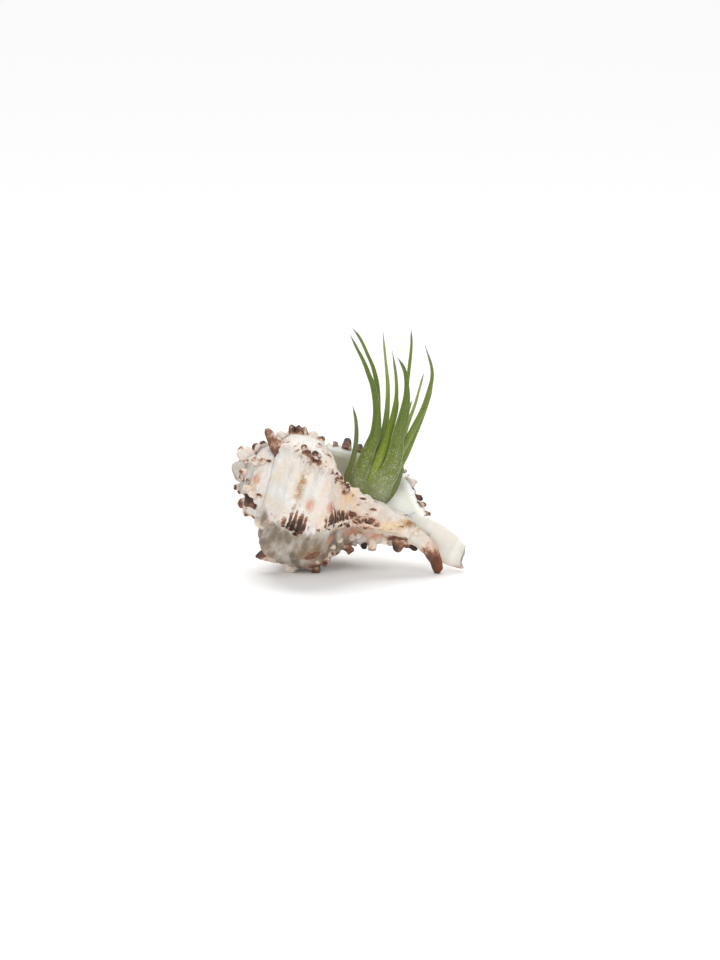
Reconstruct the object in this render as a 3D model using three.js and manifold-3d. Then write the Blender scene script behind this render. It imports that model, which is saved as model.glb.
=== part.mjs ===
// A streptophylla air plant growing out of the mouth of a murex sea shell.
// Millimetres, +Z up. The origin is on the surface the shell lies on, under the middle of the object.
// The shell's canal points along +X and its mouth faces up and back; -Y shows the back of the whorl.

import * as THREE from "three";
import { mergeVertices } from "three/addons/utils/BufferGeometryUtils.js";
import Module from "manifold-3d";

const wasm = await Module();
wasm.setup();

const { Vector3 } = THREE;
const DEG = Math.PI / 180;

// ---------------------------------------------------------------- driving sizes of the shell

const CENTRING = new Vector3(-0.7, 0.9, 0); // puts the middle of the whole object over the origin
const APEX = new Vector3(-46.4, -3.2, 42.6); // where the growth spiral starts
const AXIS_PITCH = 20.4 * DEG; // the canal end is lower than the spire
const LIP_ANGLE = 145 * DEG; // the outer lip, measured round the axis from -Y over +Z
const WHORL_EXPANSION = 1.72; // growth of the mouth in one whorl
const WHORLS = 2.4; // whorls left on the worn spire
const WALL = 2.2;

// Outline of the grown mouth in a plane through the axis, [distance along the axis, radius], from
// the suture to the end of the neck. A younger whorl has the same outline, smaller.
const OUTLINE = [
  [38 / WHORL_EXPANSION, 33.5 / WHORL_EXPANSION],
  [25, 25],
  [30, 31],
  [38, 33.5],
  [47, 33],
  [55, 29],
  [61, 20.5],
  [66.5, 12.2],
  [72.5, 9.2],
  [77, 7.8],
  [81, 6.4],
  [84, 4.6],
  [86, 1.5],
];
// The same for the present lip, which is flared towards the canal.
const LIP_OUTLINE = [
  OUTLINE[0],
  [25, 22.5],
  [30, 25.5],
  [40, 27.5],
  [52, 29.5],
  [62, 29.5],
  [70, 25.5],
  [75, 16.5],
  [79, 11],
  [81, 8.4],
  [83, 6.6],
  [84.8, 4.6],
  [86, 1.5],
];
const NEXT_SUTURE = 3; // outline index where the next whorl is attached
const NECK_START = 6;
const NECK_END = 9.5;
const NECK_GROWTH_ALONG = 0.25; // the neck keeps nearly its length while the body grows
const NECK_GROWTH_ACROSS = 0.75;

// The present lip and the former ones, in turns back from it. Each stands as a rib with a row of
// spines. The longest is on the shoulder: its outline index, and how far it leans back over the
// older shell.
const LIP_RIBS = [
  { turns: 0, size: 0.8, shoulder: 1.25, sweep: 0 },
  { turns: 0.167, size: 0.6, shoulder: 1.25, sweep: 0 },
  { turns: 0.36, size: 0.75, shoulder: 1.8, sweep: -0.4 },
  { turns: 0.542, size: 0.5, shoulder: 1.25, sweep: 0.2 },
  { turns: 0.71, size: 1.15, shoulder: 1.25, sweep: 0.8 },
  { turns: 0.9, size: 0.45, shoulder: 1.25, sweep: 0.8 },
];
const SHOULDER_SPINE_LENGTH = 8.5;
const SHOULDER_SPINE_RADIUS = 2.8;
const SHOULDER_TURNS_BACK = 0.028; // for a sweep of 1
const RIB_SPACING = 0.17; // turns between the ribs of the spire
const RIB_HEIGHT = 2;
const RIB_HALF_WIDTH = 0.03; // turns
const LIP_FLARE_TURNS = 0.13;

// The other spines of a rib of the body whorl: [outline index, length, root radius].
const RIB_SPINES = [
  [2.9, 4.2, 2.1],
  [3.8, 3.6, 1.9],
  [4.65, 3.4, 1.7],
  [5.4, 3, 1.6],
  [6.1, 2.8, 1.5],
  [6.9, 2.7, 1.4],
  [7.8, 2.6, 1.3],
];
const SPINE_SIDES = 6;
const SPINE_SINK = 1.6;

// Where the shell touches the surface it lies on, beside its claw: a knob on the second rib and one
// between two ribs, [turns, outline index].
const FRONT_FOOT = [0.39, 4.8];
const BACK_FOOT = [0.25, 3.6];
const FOOT_RADIUS = 2.5;

// The broad open canal of the lip: the middle of its floor, and its width and thickness.
const CANAL_PATH = [
  [14, 4, 21.5],
  [24, 1.5, 16.8],
  [32, -0.5, 12.4],
  [39, -1.5, 8],
  [44.6, -2, 4.8],
];
const CANAL_ACROSS = new Vector3(0.15, 0.48, 0.86).normalize();
const CANAL_WIDTHS = [14, 11.5, 11.6, 12.2, 9.6];
const CANAL_THICKNESS = 2;
const CANAL_HOLLOW = 1.8; // how far its floor lies below its edges

// The claw: the canal of a former lip. It stands on the surface.
const CLAW_PATH = [
  [19, -5, 17],
  [26, -6.8, 12.6],
  [31.2, -7.4, 6.5],
  [34.4, -7, -1],
];
const CLAW_RADII = [[4.6, 3.6], [4.4, 3], [3.4, 2.4], [2.2, 1.5]];

// Mesh steps.
const COLUMNS_PER_WHORL = 60;
const SPIRE_ROWS = [0, 0.5, 1, 1.5, 2, 2.5, 3];
const BASE_ROWS = [3, 3.6, 4.2, 4.8, 5.4, 6, 6.6, 7.3, 8, 9, 10, 11, 12];
const HOLLOW_TURNS = 0.62; // how far the hollow goes in behind the lip
const HOLLOW_STEPS = 16;

// ---------------------------------------------------------------- driving sizes of the plant

const STEM_HEART = new Vector3(3.6, 8.1, 22.5);
// Outline of the stem, [radius, height].
const STEM_PROFILE = [[0, -4.6], [1.8, -4.2], [3.2, -2.6], [3.7, 0], [3.1, 2.6], [1.6, 4], [0, 4.4]];
const LEAF_THICKNESS = 1;
const LEAF_TIP_THICKNESS = 0.65;
const LEAF_GUTTER = 0.22; // depth of the gutter as a share of the width
const ROOT_WIDTH_SHARE = 0.7; // width inside the stem as a share of the sheath's
const LEAF_GAP = 0.35; // between neighbouring leaves
const LEAF_STEPS_PER_SPAN = 1.5;

// Each leaf from its sheath to its tip: the way its outer face points round the vertical (degrees
// from +X), and the points of its middle line with its width there, [x, y, z, width]. A leaf that is
// higher in the list lies in front and keeps its whole outline; the next ones bend round it.
const LEAVES = [
  {
    name: "leaf_front_right",
    facing: -80,
    middle: [
      [11.5, 5.6, 28.2, 6], [14.2, 5, 33.5, 6], [17, 4.2, 38.8, 6], [18.7, 2.4, 47.6, 5.4],
      [19.2, 1.1, 53.4, 4.9], [21.4, -1, 61.5, 3.9], [22.3, -3, 69.1, 2.8], [22.3, -4.2, 73.3, 2],
      [22, -5.5, 77.6, 1.7], [20.9, -6.7, 81.6, 1.3], [18.5, -8, 85.8, 0.8],
    ],
  },
  {
    name: "leaf_front_left",
    facing: -105,
    middle: [
      [2.9, 6.6, 30.3, 6.6], [3.3, 6.2, 35.6, 6.6], [5.7, 5.5, 41.3, 5.9], [7.6, 4.7, 47.1, 5.1],
      [9.8, 3.7, 52.9, 4.4], [10.5, 2, 62.1, 3.2], [9.1, -0.1, 72.4, 2.3], [7.4, -1.2, 77.6, 1.9],
      [5.3, -2.5, 83.3, 1.5], [2.8, -3.7, 88.5, 1.1], [0.2, -5, 94.1, 0.8],
    ],
  },
  {
    name: "leaf_front_middle",
    facing: -92,
    middle: [
      [6.8, 6.8, 27.9, 5.6], [8.4, 6.6, 32.7, 5.4], [11.5, 6, 41.2, 5], [14.2, 5.4, 48.3, 4.2],
      [16.2, 4.7, 55.9, 2.9], [17.6, 3.9, 63.2, 2], [18.3, 3.2, 68.9, 1.5], [18.1, 2.4, 76, 1.2],
      [16.6, 1, 86.8, 0.8],
    ],
  },
  {
    name: "leaf_right",
    facing: -60,
    middle: [
      [10.3, 8.4, 26, 6], [14.2, 8.2, 31.2, 5.6], [16.8, 7.9, 36.6, 5], [20.3, 7.3, 45.1, 3.9],
      [23.4, 6.8, 50.8, 3.3], [25.8, 6.4, 55.6, 2.9], [29.1, 5.8, 62.8, 2.5], [31.2, 5.1, 69.8, 2],
      [32.4, 4.4, 75.6, 1.6], [32, 3.9, 80.3, 1.2], [29.3, 3, 88.6, 0.8],
    ],
  },
  {
    name: "leaf_back_left",
    facing: -100,
    middle: [
      [3.3, 8.4, 28, 5.6], [4.5, 8.4, 35.1, 5.2], [7.2, 8.3, 42.7, 4.6], [9.6, 8.3, 51.5, 3.8],
      [10.6, 8.2, 61.1, 3], [10.6, 8.2, 71.5, 2.1], [9.2, 8.1, 78.5, 1.6], [7.2, 8.1, 83.4, 1.3],
      [4.1, 8, 90.2, 1.1], [1.2, 8, 94.4, 0.8],
    ],
  },
  {
    name: "leaf_far_left",
    facing: -125,
    middle: [
      [0.2, 8.8, 25.9, 3], [-1.6, 8.6, 30.7, 3.1], [-1.4, 8.2, 35.2, 2.9], [0.6, 7.7, 40.9, 2.6],
      [2.1, 7, 48, 2.2], [2.4, 6, 56.5, 1.7], [1.2, 5, 64.4, 0.8],
    ],
  },
  {
    name: "leaf_right_thin",
    facing: -50,
    middle: [
      [9.2, 10, 27.6, 4.2], [14.2, 10.4, 34.7, 3.8], [18.9, 11.2, 42.5, 3], [21.4, 12.1, 49.7, 2.4],
      [23.3, 12.9, 55.7, 1.9], [25.8, 13.9, 62.4, 1.4], [27.7, 15, 69.2, 1], [29.3, 16, 75.4, 0.8],
    ],
  },
  {
    name: "leaf_back_middle",
    facing: 85,
    middle: [
      [6.8, 11.4, 27.3, 4.6], [9.6, 12.1, 37.1, 4], [12.3, 13, 46.1, 3.2], [14.2, 14.2, 55.4, 2.5],
      [15, 15.4, 63.6, 1.9], [15, 16.7, 71.6, 1.5], [14.2, 18, 79.7, 1], [13.1, 20, 90.9, 0.8],
    ],
  },
  {
    name: "leaf_back_right",
    facing: 70,
    middle: [
      [8, 12.6, 28.3, 4.6], [13.1, 13.7, 38.8, 4], [17.4, 15.2, 48.4, 3.2], [20.5, 17.1, 58, 2.4],
      [22.4, 18.9, 66.4, 1.8], [23.1, 20.3, 72.2, 1.4], [23.9, 21.9, 78.9, 1.3], [24.5, 23.6, 85.5, 1],
      [24.3, 25, 90.8, 0.8],
    ],
  },
  {
    name: "leaf_right_short",
    facing: -40,
    middle: [
      [11.1, 11.6, 26.1, 4.4], [16.2, 12.2, 32.3, 3.8], [21.6, 13.6, 40.4, 3.2], [25.9, 15.5, 50, 2.7],
      [29.8, 17.8, 59.5, 2.1], [32.2, 19.8, 67, 1.5], [32.9, 22, 74.7, 0.8],
    ],
  },
  {
    name: "leaf_inner_tip",
    facing: 60,
    middle: [
      [9.9, 14.8, 32.6, 3], [16.2, 16.2, 43, 2.6], [20.5, 18.1, 51.8, 2], [23, 19.7, 58.3, 1.4],
      [24.6, 21, 63.2, 0.8],
    ],
  },
  {
    name: "leaf_outer_sheath",
    facing: -20,
    middle: [
      [9.6, 8.8, 24.3, 5.6], [13.8, 9.3, 26.6, 5.4], [17, 10.4, 29.9, 4.6], [19.5, 12.6, 34.6, 3.2],
      [21.3, 15, 38.9, 1.6],
    ],
  },
  {
    name: "leaf_behind_left",
    facing: 110,
    middle: [
      [2.9, 13.8, 28, 5], [4.5, 15.7, 36.4, 4.6], [7.6, 18.2, 43.8, 3.8], [9.9, 21.3, 51.1, 2.8],
      [10.5, 24.4, 57.7, 1.8], [10.1, 27, 62.7, 0.8],
    ],
  },
  {
    name: "leaf_behind_right",
    facing: 75,
    middle: [
      [4.9, 15, 28.5, 5], [8.8, 16.8, 36.9, 4.4], [12.7, 19.3, 44.4, 3.6], [16.2, 22.3, 51.7, 2.6],
      [18.5, 25.4, 58.2, 1.6], [19.3, 27.5, 62.6, 0.8],
    ],
  },
];

const LEAF_COLORS = [0x62711b, 0x6f7b45, 0x7b8c2c, 0x5c6433];

// ---------------------------------------------------------------- the shell's growth

const axis = new Vector3(Math.cos(AXIS_PITCH), 0, -Math.sin(AXIS_PITCH));
const front = new Vector3(0, -1, 0);
const upper = new Vector3().crossVectors(front, axis);

// A point at a distance along the shell's axis, a radius and an angle round it.
function aroundAxis(along, radius, angle) {
  return APEX.clone()
    .addScaledVector(axis, along)
    .addScaledVector(front, radius * Math.cos(angle))
    .addScaledVector(upper, radius * Math.sin(angle));
}

const angleAt = (turns) => LIP_ANGLE + 2 * Math.PI * turns;
const growth = (turns) => WHORL_EXPANSION ** -turns;

function smoothstep(low, high, x) {
  const s = Math.min(1, Math.max(0, (x - low) / (high - low)));
  return s * s * (3 - 2 * s);
}

// Value between the numbers of a list at a fractional index.
function between(numbers, index) {
  const i = Math.min(numbers.length - 2, Math.floor(index));
  return numbers[i] + (index - i) * (numbers[i + 1] - numbers[i]);
}

// Catmull-Rom value of one coordinate of a list of points at a fractional index.
function curveAt(points, index, coordinate) {
  const last = points.length - 1;
  const i = Math.min(last - 1, Math.floor(index));
  const s = index - i;
  const [a, b, c, d] = [-1, 0, 1, 2].map((k) => points[Math.min(last, Math.max(0, i + k))][coordinate]);
  return b + 0.5 * s * (c - a + s * (2 * a - 5 * b + 4 * c - d + s * (3 * (b - c) + d - a)));
}

// Height of the ribs on the outer surface. They fade where the next whorl covers them.
function ribHeight(turns, row) {
  const spireRib = RIB_SPACING * Math.round(turns / RIB_SPACING);
  const ribs = turns < 0.96 ? LIP_RIBS.map((rib) => rib.turns) : [spireRib];
  const profile = Math.max(...ribs.map((rib) => Math.exp(-(((turns - rib) / RIB_HALF_WIDTH) ** 2))));
  const onWhorl = smoothstep(0.2, 1.6, row) * (1 - 0.7 * smoothstep(7, 10, row));
  const covered = smoothstep(0.9, 1.05, turns) * smoothstep(1.6, 2.6, row);
  const glazed = smoothstep(0.86, 1, turns) * smoothstep(2.2, 3, row);
  return RIB_HEIGHT * growth(turns) * profile * onWhorl * (1 - Math.max(covered, glazed));
}

// The outer surface as [distance along the axis, radius], at a number of turns back from the lip
// and an outline index. A whorl starts on the one before it.
function section(turns, row, ribs = true) {
  const g = growth(turns);
  const neck = smoothstep(NECK_START, NECK_END, row);
  const flare = smoothstep(LIP_FLARE_TURNS, 0, turns);
  const grown = [0, 1].map((k) => {
    const plain = curveAt(OUTLINE, row, k);
    return plain + flare * (curveAt(LIP_OUTLINE, row, k) - plain);
  });
  let along = grown[0] * g ** (1 + neck * (NECK_GROWTH_ALONG - 1));
  let radius = grown[1] * g ** (1 + neck * (NECK_GROWTH_ACROSS - 1));
  radius += ribs ? ribHeight(turns, row) : 0;
  if (row < 1 && turns + 1 <= WHORLS) {
    const seat = section(turns + 1, NEXT_SUTURE);
    along += (1 - row) * (seat[0] - OUTLINE[0][0] * g);
    radius += (1 - row) * (seat[1] - OUTLINE[0][1] * g);
  }
  return [along, radius];
}

function surface(turns, row) {
  const [along, radius] = section(turns, row);
  return aroundAxis(along, radius, angleAt(turns));
}

// ---------------------------------------------------------------- meshes and solids

// Collects triangles: strips between two lists of points, fans round a point, and zips.
class Skin {
  constructor() {
    this.positions = [];
  }

  triangle(a, b, c) {
    this.positions.push(...a.toArray(), ...b.toArray(), ...c.toArray());
  }

  strip(left, right) {
    for (let i = 0; i + 1 < left.length; i++) {
      this.triangle(left[i], right[i], right[i + 1]);
      this.triangle(left[i], right[i + 1], left[i + 1]);
    }
  }

  fan(loop, centre) {
    for (let i = 0; i + 1 < loop.length; i++) this.triangle(loop[i], loop[i + 1], centre);
  }

  // Fills between two open lists of any lengths, walking both by their share of the way.
  zip(left, right) {
    let i = 0;
    let j = 0;
    while (i + 1 < left.length || j + 1 < right.length) {
      const leftShare = i + 1 < left.length ? (i + 1) / (left.length - 1) : Infinity;
      const rightShare = j + 1 < right.length ? (j + 1) / (right.length - 1) : Infinity;
      if (leftShare <= rightShare) this.triangle(left[i], right[j], left[++i]);
      else this.triangle(left[i], right[j], right[++j]);
    }
  }

  solid() {
    const geometry = new THREE.BufferGeometry();
    geometry.setAttribute("position", new THREE.Float32BufferAttribute(this.positions, 3));
    return solidOf(geometry);
  }
}

// A closed geometry as a manifold-3d solid that faces out.
function solidOf(geometry) {
  const merged = mergeVertices(geometry, 2e-3);
  const corners = [];
  for (let i = 0; i < merged.index.count; i += 3) {
    const [a, b, c] = [0, 1, 2].map((k) => merged.index.getX(i + k));
    if (a !== b && b !== c && c !== a) corners.push(a, b, c);
  }
  const build = (order) => {
    const triVerts = new Uint32Array(corners.length);
    for (let i = 0; i < corners.length; i += 3) order.forEach((k, j) => (triVerts[i + j] = corners[i + k]));
    const vertProperties = merged.attributes.position.array;
    return new wasm.Manifold(new wasm.Mesh({ numProp: 3, vertProperties, triVerts }));
  };
  const made = build([0, 1, 2]);
  return made.volume() > 0 ? made : build([0, 2, 1]);
}

function geometryOf(solid) {
  const { vertProperties, triVerts } = solid.getMesh();
  const geometry = new THREE.BufferGeometry();
  geometry.setAttribute("position", new THREE.BufferAttribute(new Float32Array(vertProperties), 3));
  geometry.setIndex(new THREE.BufferAttribute(new Uint32Array(triVerts), 1));
  geometry.computeVertexNormals();
  return geometry;
}

function largestBody(solid) {
  return solid.decompose().reduce((best, s) => (s.volume() > best.volume() ? s : best));
}

function middleOf(points) {
  return points.reduce((sum, p) => sum.add(p), new Vector3()).divideScalar(points.length);
}

// A closed solid through rings of equal length.
function loft(rings) {
  const skin = new Skin();
  const closed = rings.map((ring) => [...ring, ring[0]]);
  for (let i = 0; i + 1 < closed.length; i++) skin.strip(closed[i], closed[i + 1]);
  skin.fan(closed[0], middleOf(rings[0]));
  skin.fan([...closed.at(-1)].reverse(), middleOf(rings.at(-1)));
  return skin.solid();
}

function range(from, to, steps) {
  return Array.from({ length: steps + 1 }, (_, i) => from + ((to - from) * i) / steps);
}

// ---------------------------------------------------------------- the shell

// The spiral outside of the shell as a full solid, its mouth closed by the plane of the lip.
function spiralBody() {
  const skin = new Skin();
  const columns = (from, to) => range(from, to, Math.round((to - from) * COLUMNS_PER_WHORL));
  const column = (turns, rows) => rows.map((row) => surface(turns, row));
  const sweep = (turns, rows) => {
    for (let j = 0; j + 1 < turns.length; j++) skin.strip(column(turns[j], rows), column(turns[j + 1], rows));
  };
  sweep(columns(0, WHORLS), SPIRE_ROWS);
  sweep(columns(0, 1), BASE_ROWS);

  const wornApex = [
    ...columns(WHORLS - 1, WHORLS).map((turns) => surface(turns, 0)),
    ...SPIRE_ROWS.slice(1).map((row) => surface(WHORLS, row)),
  ];
  const apexTip = aroundAxis(0.6, 0, 0);
  const dome = wornApex.map((p) => p.clone().lerp(apexTip, 0.42).addScaledVector(axis, -1.6));
  skin.strip(wornApex, dome);
  skin.fan([...dome].reverse(), apexTip);
  const neckEnd = aroundAxis(85.4, 0, 0);
  skin.fan(columns(0, 1).map((turns) => surface(turns, BASE_ROWS.at(-1))), neckEnd);

  const lip = [...column(0, SPIRE_ROWS), ...column(0, BASE_ROWS).slice(1), neckEnd];
  const formerWhorl = [...column(1, BASE_ROWS), neckEnd];
  skin.zip(formerWhorl, lip);
  return skin.solid();
}

// Radius on an outline given as points of growing distance along the axis.
function radiusAt(points, along) {
  const i = points.findIndex(([a]) => a > along);
  if (i <= 0) return points.at(i)[1];
  const [a0, r0] = points[i - 1];
  const [a1, r1] = points[i];
  return r0 + ((r1 - r0) * (along - a0)) / (a1 - a0);
}

// The hollow behind the lip: between the wall of the body whorl and the former whorl.
function hollow() {
  const rings = range(-0.03, HOLLOW_TURNS, HOLLOW_STEPS).map((turns) => {
    const wall = range(0.6, 9.2, 40).map((row) => {
      const [a0, r0] = section(turns, row - 0.05, false);
      const [a1, r1] = section(turns, row + 0.05, false);
      const thickness = WALL * (0.5 + 0.5 * smoothstep(-0.02, 0.08, turns));
      const inset = thickness / Math.hypot(a1 - a0, r1 - r0);
      return [(a0 + a1) / 2 + inset * (r1 - r0), (r0 + r1) / 2 - inset * (a1 - a0)];
    });
    const former = range(3, 12, 40).map((row) => section(1 + turns, row, false));
    const start = Math.max(wall[0][0], former[0][0] + 1);
    const end = wall.at(-1)[0];
    const alongs = range(start, end, 16);
    const gap = (a) => Math.max(0.04, radiusAt(wall, a) - radiusAt(former, a) - 0.4);
    const outerEdge = alongs.map((a) => [a, radiusAt(wall, a)]);
    const innerEdge = alongs.map((a) => [a, radiusAt(wall, a) - gap(a)]);
    return [...outerEdge, ...innerEdge.reverse()].map(([a, r]) => aroundAxis(a, r, angleAt(turns)));
  });
  return loft(rings);
}

// Points of an ellipse round a centre, along two directions.
function ringOf(centre, first, second, firstRadius, secondRadius, sides) {
  return range(0, 2 * Math.PI, sides)
    .slice(0, -1)
    .map((turn) =>
      centre
        .clone()
        .addScaledVector(first, firstRadius * Math.cos(turn))
        .addScaledVector(second, secondRadius * Math.sin(turn)),
    );
}

// A blunt spine, swept back over the older shell by a share of its length.
function spine(turns, row, length, radius, sweep = 0) {
  const foot = surface(turns, row);
  const alongStep = surface(turns, row + 0.1).sub(foot);
  const roundStep = surface(turns + 0.005, row).sub(foot);
  const outward = new Vector3().crossVectors(alongStep, roundStep).normalize();
  if (outward.dot(foot.clone().sub(aroundAxis(section(turns, row)[0], 0, 0))) < 0) outward.negate();
  const direction = outward.clone().addScaledVector(roundStep.normalize(), sweep).normalize();
  const side = new Vector3().crossVectors(direction, axis).normalize();
  const other = new Vector3().crossVectors(direction, side);
  const ring = ([reach, width]) =>
    ringOf(foot.clone().addScaledVector(direction, reach), side, other, width, width, SPINE_SIDES);
  const steps = [
    [-SPINE_SINK, radius * 1.15],
    [length * 0.35, radius * 0.8],
    [length, radius * 0.35],
  ];
  return loft(steps.map(ring));
}

function bodySpines() {
  const spines = [];
  for (const { turns, size, shoulder, sweep } of LIP_RIBS) {
    const thinned = size ** 0.5;
    const swept = turns + SHOULDER_TURNS_BACK * sweep;
    const [length, radius] = [SHOULDER_SPINE_LENGTH * size, SHOULDER_SPINE_RADIUS * thinned];
    spines.push(spine(swept, shoulder, length, radius, sweep));
    for (const [row, spineLength, spineRadius] of RIB_SPINES) {
      const onGlaze = turns > 0.8 && row > 3.3;
      if (!onGlaze) spines.push(spine(turns, row, spineLength * size, spineRadius * thinned));
    }
  }
  return spines;
}

function spireKnobs() {
  const knobs = [];
  for (let turns = 1.02; turns < WHORLS - 0.1; turns += RIB_SPACING) {
    const size = growth(turns);
    knobs.push(spine(turns, 1.7, 5 * size, 3.4 * size, 0.3));
    knobs.push(spine(turns, 2.3, 3 * size, 2.6 * size));
  }
  return knobs;
}

// A knob under the shell, long enough to be cut flat by the surface.
function foot([turns, row]) {
  const root = surface(turns, row);
  const east = new Vector3(1, 0, 0);
  const north = new Vector3(0, 1, 0);
  const ring = ([z, width]) => ringOf(new Vector3(root.x, root.y, z), east, north, width, width, SPINE_SIDES);
  const steps = [
    [root.z + 3, FOOT_RADIUS * 1.3],
    [root.z * 0.4, FOOT_RADIUS],
    [-2, FOOT_RADIUS * 0.5],
  ];
  return loft(steps.map(ring));
}

// A round or flattened horn through points, with [half width, half thickness] at each.
function horn(path, radii, sides, across) {
  const curve = new THREE.CatmullRomCurve3(path.map((p) => new Vector3(...p)));
  const steps = (path.length - 1) * 2;
  const rings = range(0, 1, steps).map((s) => {
    const centre = curve.getPoint(s);
    const ahead = curve.getTangent(s);
    const flat = across.clone().addScaledVector(ahead, -across.dot(ahead)).normalize();
    const thick = new Vector3().crossVectors(ahead, flat);
    const [w, t] = [0, 1].map((k) => between(radii.map((pair) => pair[k]), s * (radii.length - 1)));
    return ringOf(centre, flat, thick, w, t, sides);
  });
  return loft(rings);
}

// The canal: a bent plate that is hollow above, like a spout.
function canal() {
  const curve = new THREE.CatmullRomCurve3(CANAL_PATH.map((p) => new Vector3(...p)));
  const rings = range(0, 1, 10).map((s) => {
    const centre = curve.getPoint(s);
    const ahead = curve.getTangent(s);
    const flat = CANAL_ACROSS.clone().addScaledVector(ahead, -CANAL_ACROSS.dot(ahead)).normalize();
    const open = new Vector3().crossVectors(ahead, flat).normalize();
    if (open.y > 0) open.negate();
    const width = between(CANAL_WIDTHS, s * (CANAL_WIDTHS.length - 1));
    const place = (u, lift) =>
      centre
        .clone()
        .addScaledVector(flat, (u * width) / 2)
        .addScaledVector(open, lift + CANAL_HOLLOW * u * u);
    const inside = range(-1, 1, 6).map((u) => place(u, 0));
    const outside = range(1, -1, 6).map((u) => place(u * 0.96, -CANAL_THICKNESS));
    return [...inside, ...outside];
  });
  return loft(rings);
}

function shellSolid() {
  const claw = horn(CLAW_PATH, CLAW_RADII, 8, new Vector3(1, 0, 0.4));
  const extras = [...bodySpines(), ...spireKnobs(), foot(FRONT_FOOT), foot(BACK_FOOT), claw, canal()];
  const solid = extras.reduce((sum, extra) => sum.add(extra), spiralBody().subtract(hollow()));
  return largestBody(solid.trimByPlane([0, 0, 1], 0));
}

// ---------------------------------------------------------------- the plant

// A long tapering blade whose keel is on its outer face, like a shallow gutter. An inflated one is
// thicker all round, to cut its place out of a neighbour.
function blade({ facing, middle }, inflate = 0) {
  const curve = new THREE.CatmullRomCurve3([STEM_HEART, ...middle.map(([x, y, z]) => new Vector3(x, y, z))]);
  const spans = middle.length;
  const widths = [middle[0][3] * ROOT_WIDTH_SHARE, ...middle.map((point) => point[3])];
  const outward = new Vector3(Math.cos(facing * DEG), Math.sin(facing * DEG), 0);
  const rings = range(0, spans, Math.ceil(spans * LEAF_STEPS_PER_SPAN)).map((at) => {
    const s = at / spans;
    const centre = curve.getPoint(s);
    const ahead = curve.getTangent(s);
    const flat = new Vector3().crossVectors(outward, ahead).normalize();
    const keelwards = new Vector3().crossVectors(ahead, flat).normalize();
    const width = between(widths, at) + 2 * inflate;
    const thickness = LEAF_TIP_THICKNESS + (LEAF_THICKNESS - LEAF_TIP_THICKNESS) * (1 - s) + inflate;
    const keel = LEAF_GUTTER * width;
    const place = (u, lift) =>
      centre.clone().addScaledVector(flat, u * width).addScaledVector(keelwards, lift);
    return [
      place(-0.5, -0.5 * keel),
      place(-0.25, 0.25 * keel + inflate),
      place(0, 0.5 * keel + inflate),
      place(0.25, 0.25 * keel + inflate),
      place(0.5, -0.5 * keel),
      place(0.42, -0.5 * keel - thickness),
      place(0, 0.5 * keel - thickness),
      place(-0.42, -0.5 * keel - thickness),
    ];
  });
  return loft(rings);
}

// The short stem that the leaves grow from, as a turned solid.
function stem(inflate = 0) {
  const profile = STEM_PROFILE.map(
    ([r, z]) => new THREE.Vector2(r === 0 ? 0 : r + inflate, z + Math.sign(z) * inflate),
  );
  const geometry = new THREE.LatheGeometry(profile, 14);
  geometry.deleteAttribute("normal");
  geometry.deleteAttribute("uv");
  geometry.rotateX(Math.PI / 2);
  geometry.translate(...STEM_HEART.toArray());
  return solidOf(geometry);
}

function leafSolids() {
  const cutters = [stem(LEAF_GAP)];
  return LEAVES.map((leaf) => {
    const solid = cutters.reduce((left, cutter) => left.subtract(cutter), blade(leaf));
    cutters.push(blade(leaf, LEAF_GAP));
    return largestBody(solid);
  });
}

// ---------------------------------------------------------------- the object

const airPlant = new THREE.Group();
airPlant.position.copy(CENTRING);

function addPiece(name, solid, color, roughness) {
  const material = new THREE.MeshStandardMaterial({ color, roughness, metalness: 0 });
  const mesh = new THREE.Mesh(geometryOf(solid), material);
  mesh.name = name;
  airPlant.add(mesh);
}

addPiece("murex_shell", shellSolid(), 0xe8dfd2, 0.55);
addPiece("stem_base", stem(), 0x8a7a5a, 0.8);
leafSolids().forEach((solid, i) => addPiece(LEAVES[i].name, solid, LEAF_COLORS[i % LEAF_COLORS.length], 0.6));

export default airPlant;
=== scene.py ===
"""A streptophylla air plant growing out of the mouth of a worn murex shell that lies on its back.

Lengths in the classes are millimetres in the part's own frame: +X towards the shell's canal, -Y towards
the side that shows the back of the body whorl, +Z up. Meshes are turned to metres when they are finished.
"""

import logging
import math
from dataclasses import dataclass, field
from enum import Enum
from typing import Any, Callable, Iterable, Sequence

import bmesh
import bpy
import numpy as np
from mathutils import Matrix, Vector


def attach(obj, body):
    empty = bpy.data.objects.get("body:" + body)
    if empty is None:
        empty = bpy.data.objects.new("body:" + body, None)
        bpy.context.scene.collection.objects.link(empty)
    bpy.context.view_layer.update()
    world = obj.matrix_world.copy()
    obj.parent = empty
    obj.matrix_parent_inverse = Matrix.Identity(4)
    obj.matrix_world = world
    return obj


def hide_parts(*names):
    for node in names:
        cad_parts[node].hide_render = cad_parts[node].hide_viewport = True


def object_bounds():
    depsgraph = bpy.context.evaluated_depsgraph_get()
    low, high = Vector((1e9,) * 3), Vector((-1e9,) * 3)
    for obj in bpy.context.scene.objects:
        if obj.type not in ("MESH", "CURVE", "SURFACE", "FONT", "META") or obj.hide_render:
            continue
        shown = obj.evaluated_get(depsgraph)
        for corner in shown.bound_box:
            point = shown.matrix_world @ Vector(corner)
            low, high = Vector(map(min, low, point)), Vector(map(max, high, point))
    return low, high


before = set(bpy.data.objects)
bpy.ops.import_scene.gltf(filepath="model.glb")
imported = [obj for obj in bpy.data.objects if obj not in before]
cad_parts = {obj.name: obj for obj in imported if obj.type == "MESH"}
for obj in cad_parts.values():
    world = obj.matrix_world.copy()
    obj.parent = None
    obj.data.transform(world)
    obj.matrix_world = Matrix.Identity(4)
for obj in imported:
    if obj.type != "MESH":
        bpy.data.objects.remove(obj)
CAD_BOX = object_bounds()

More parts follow.
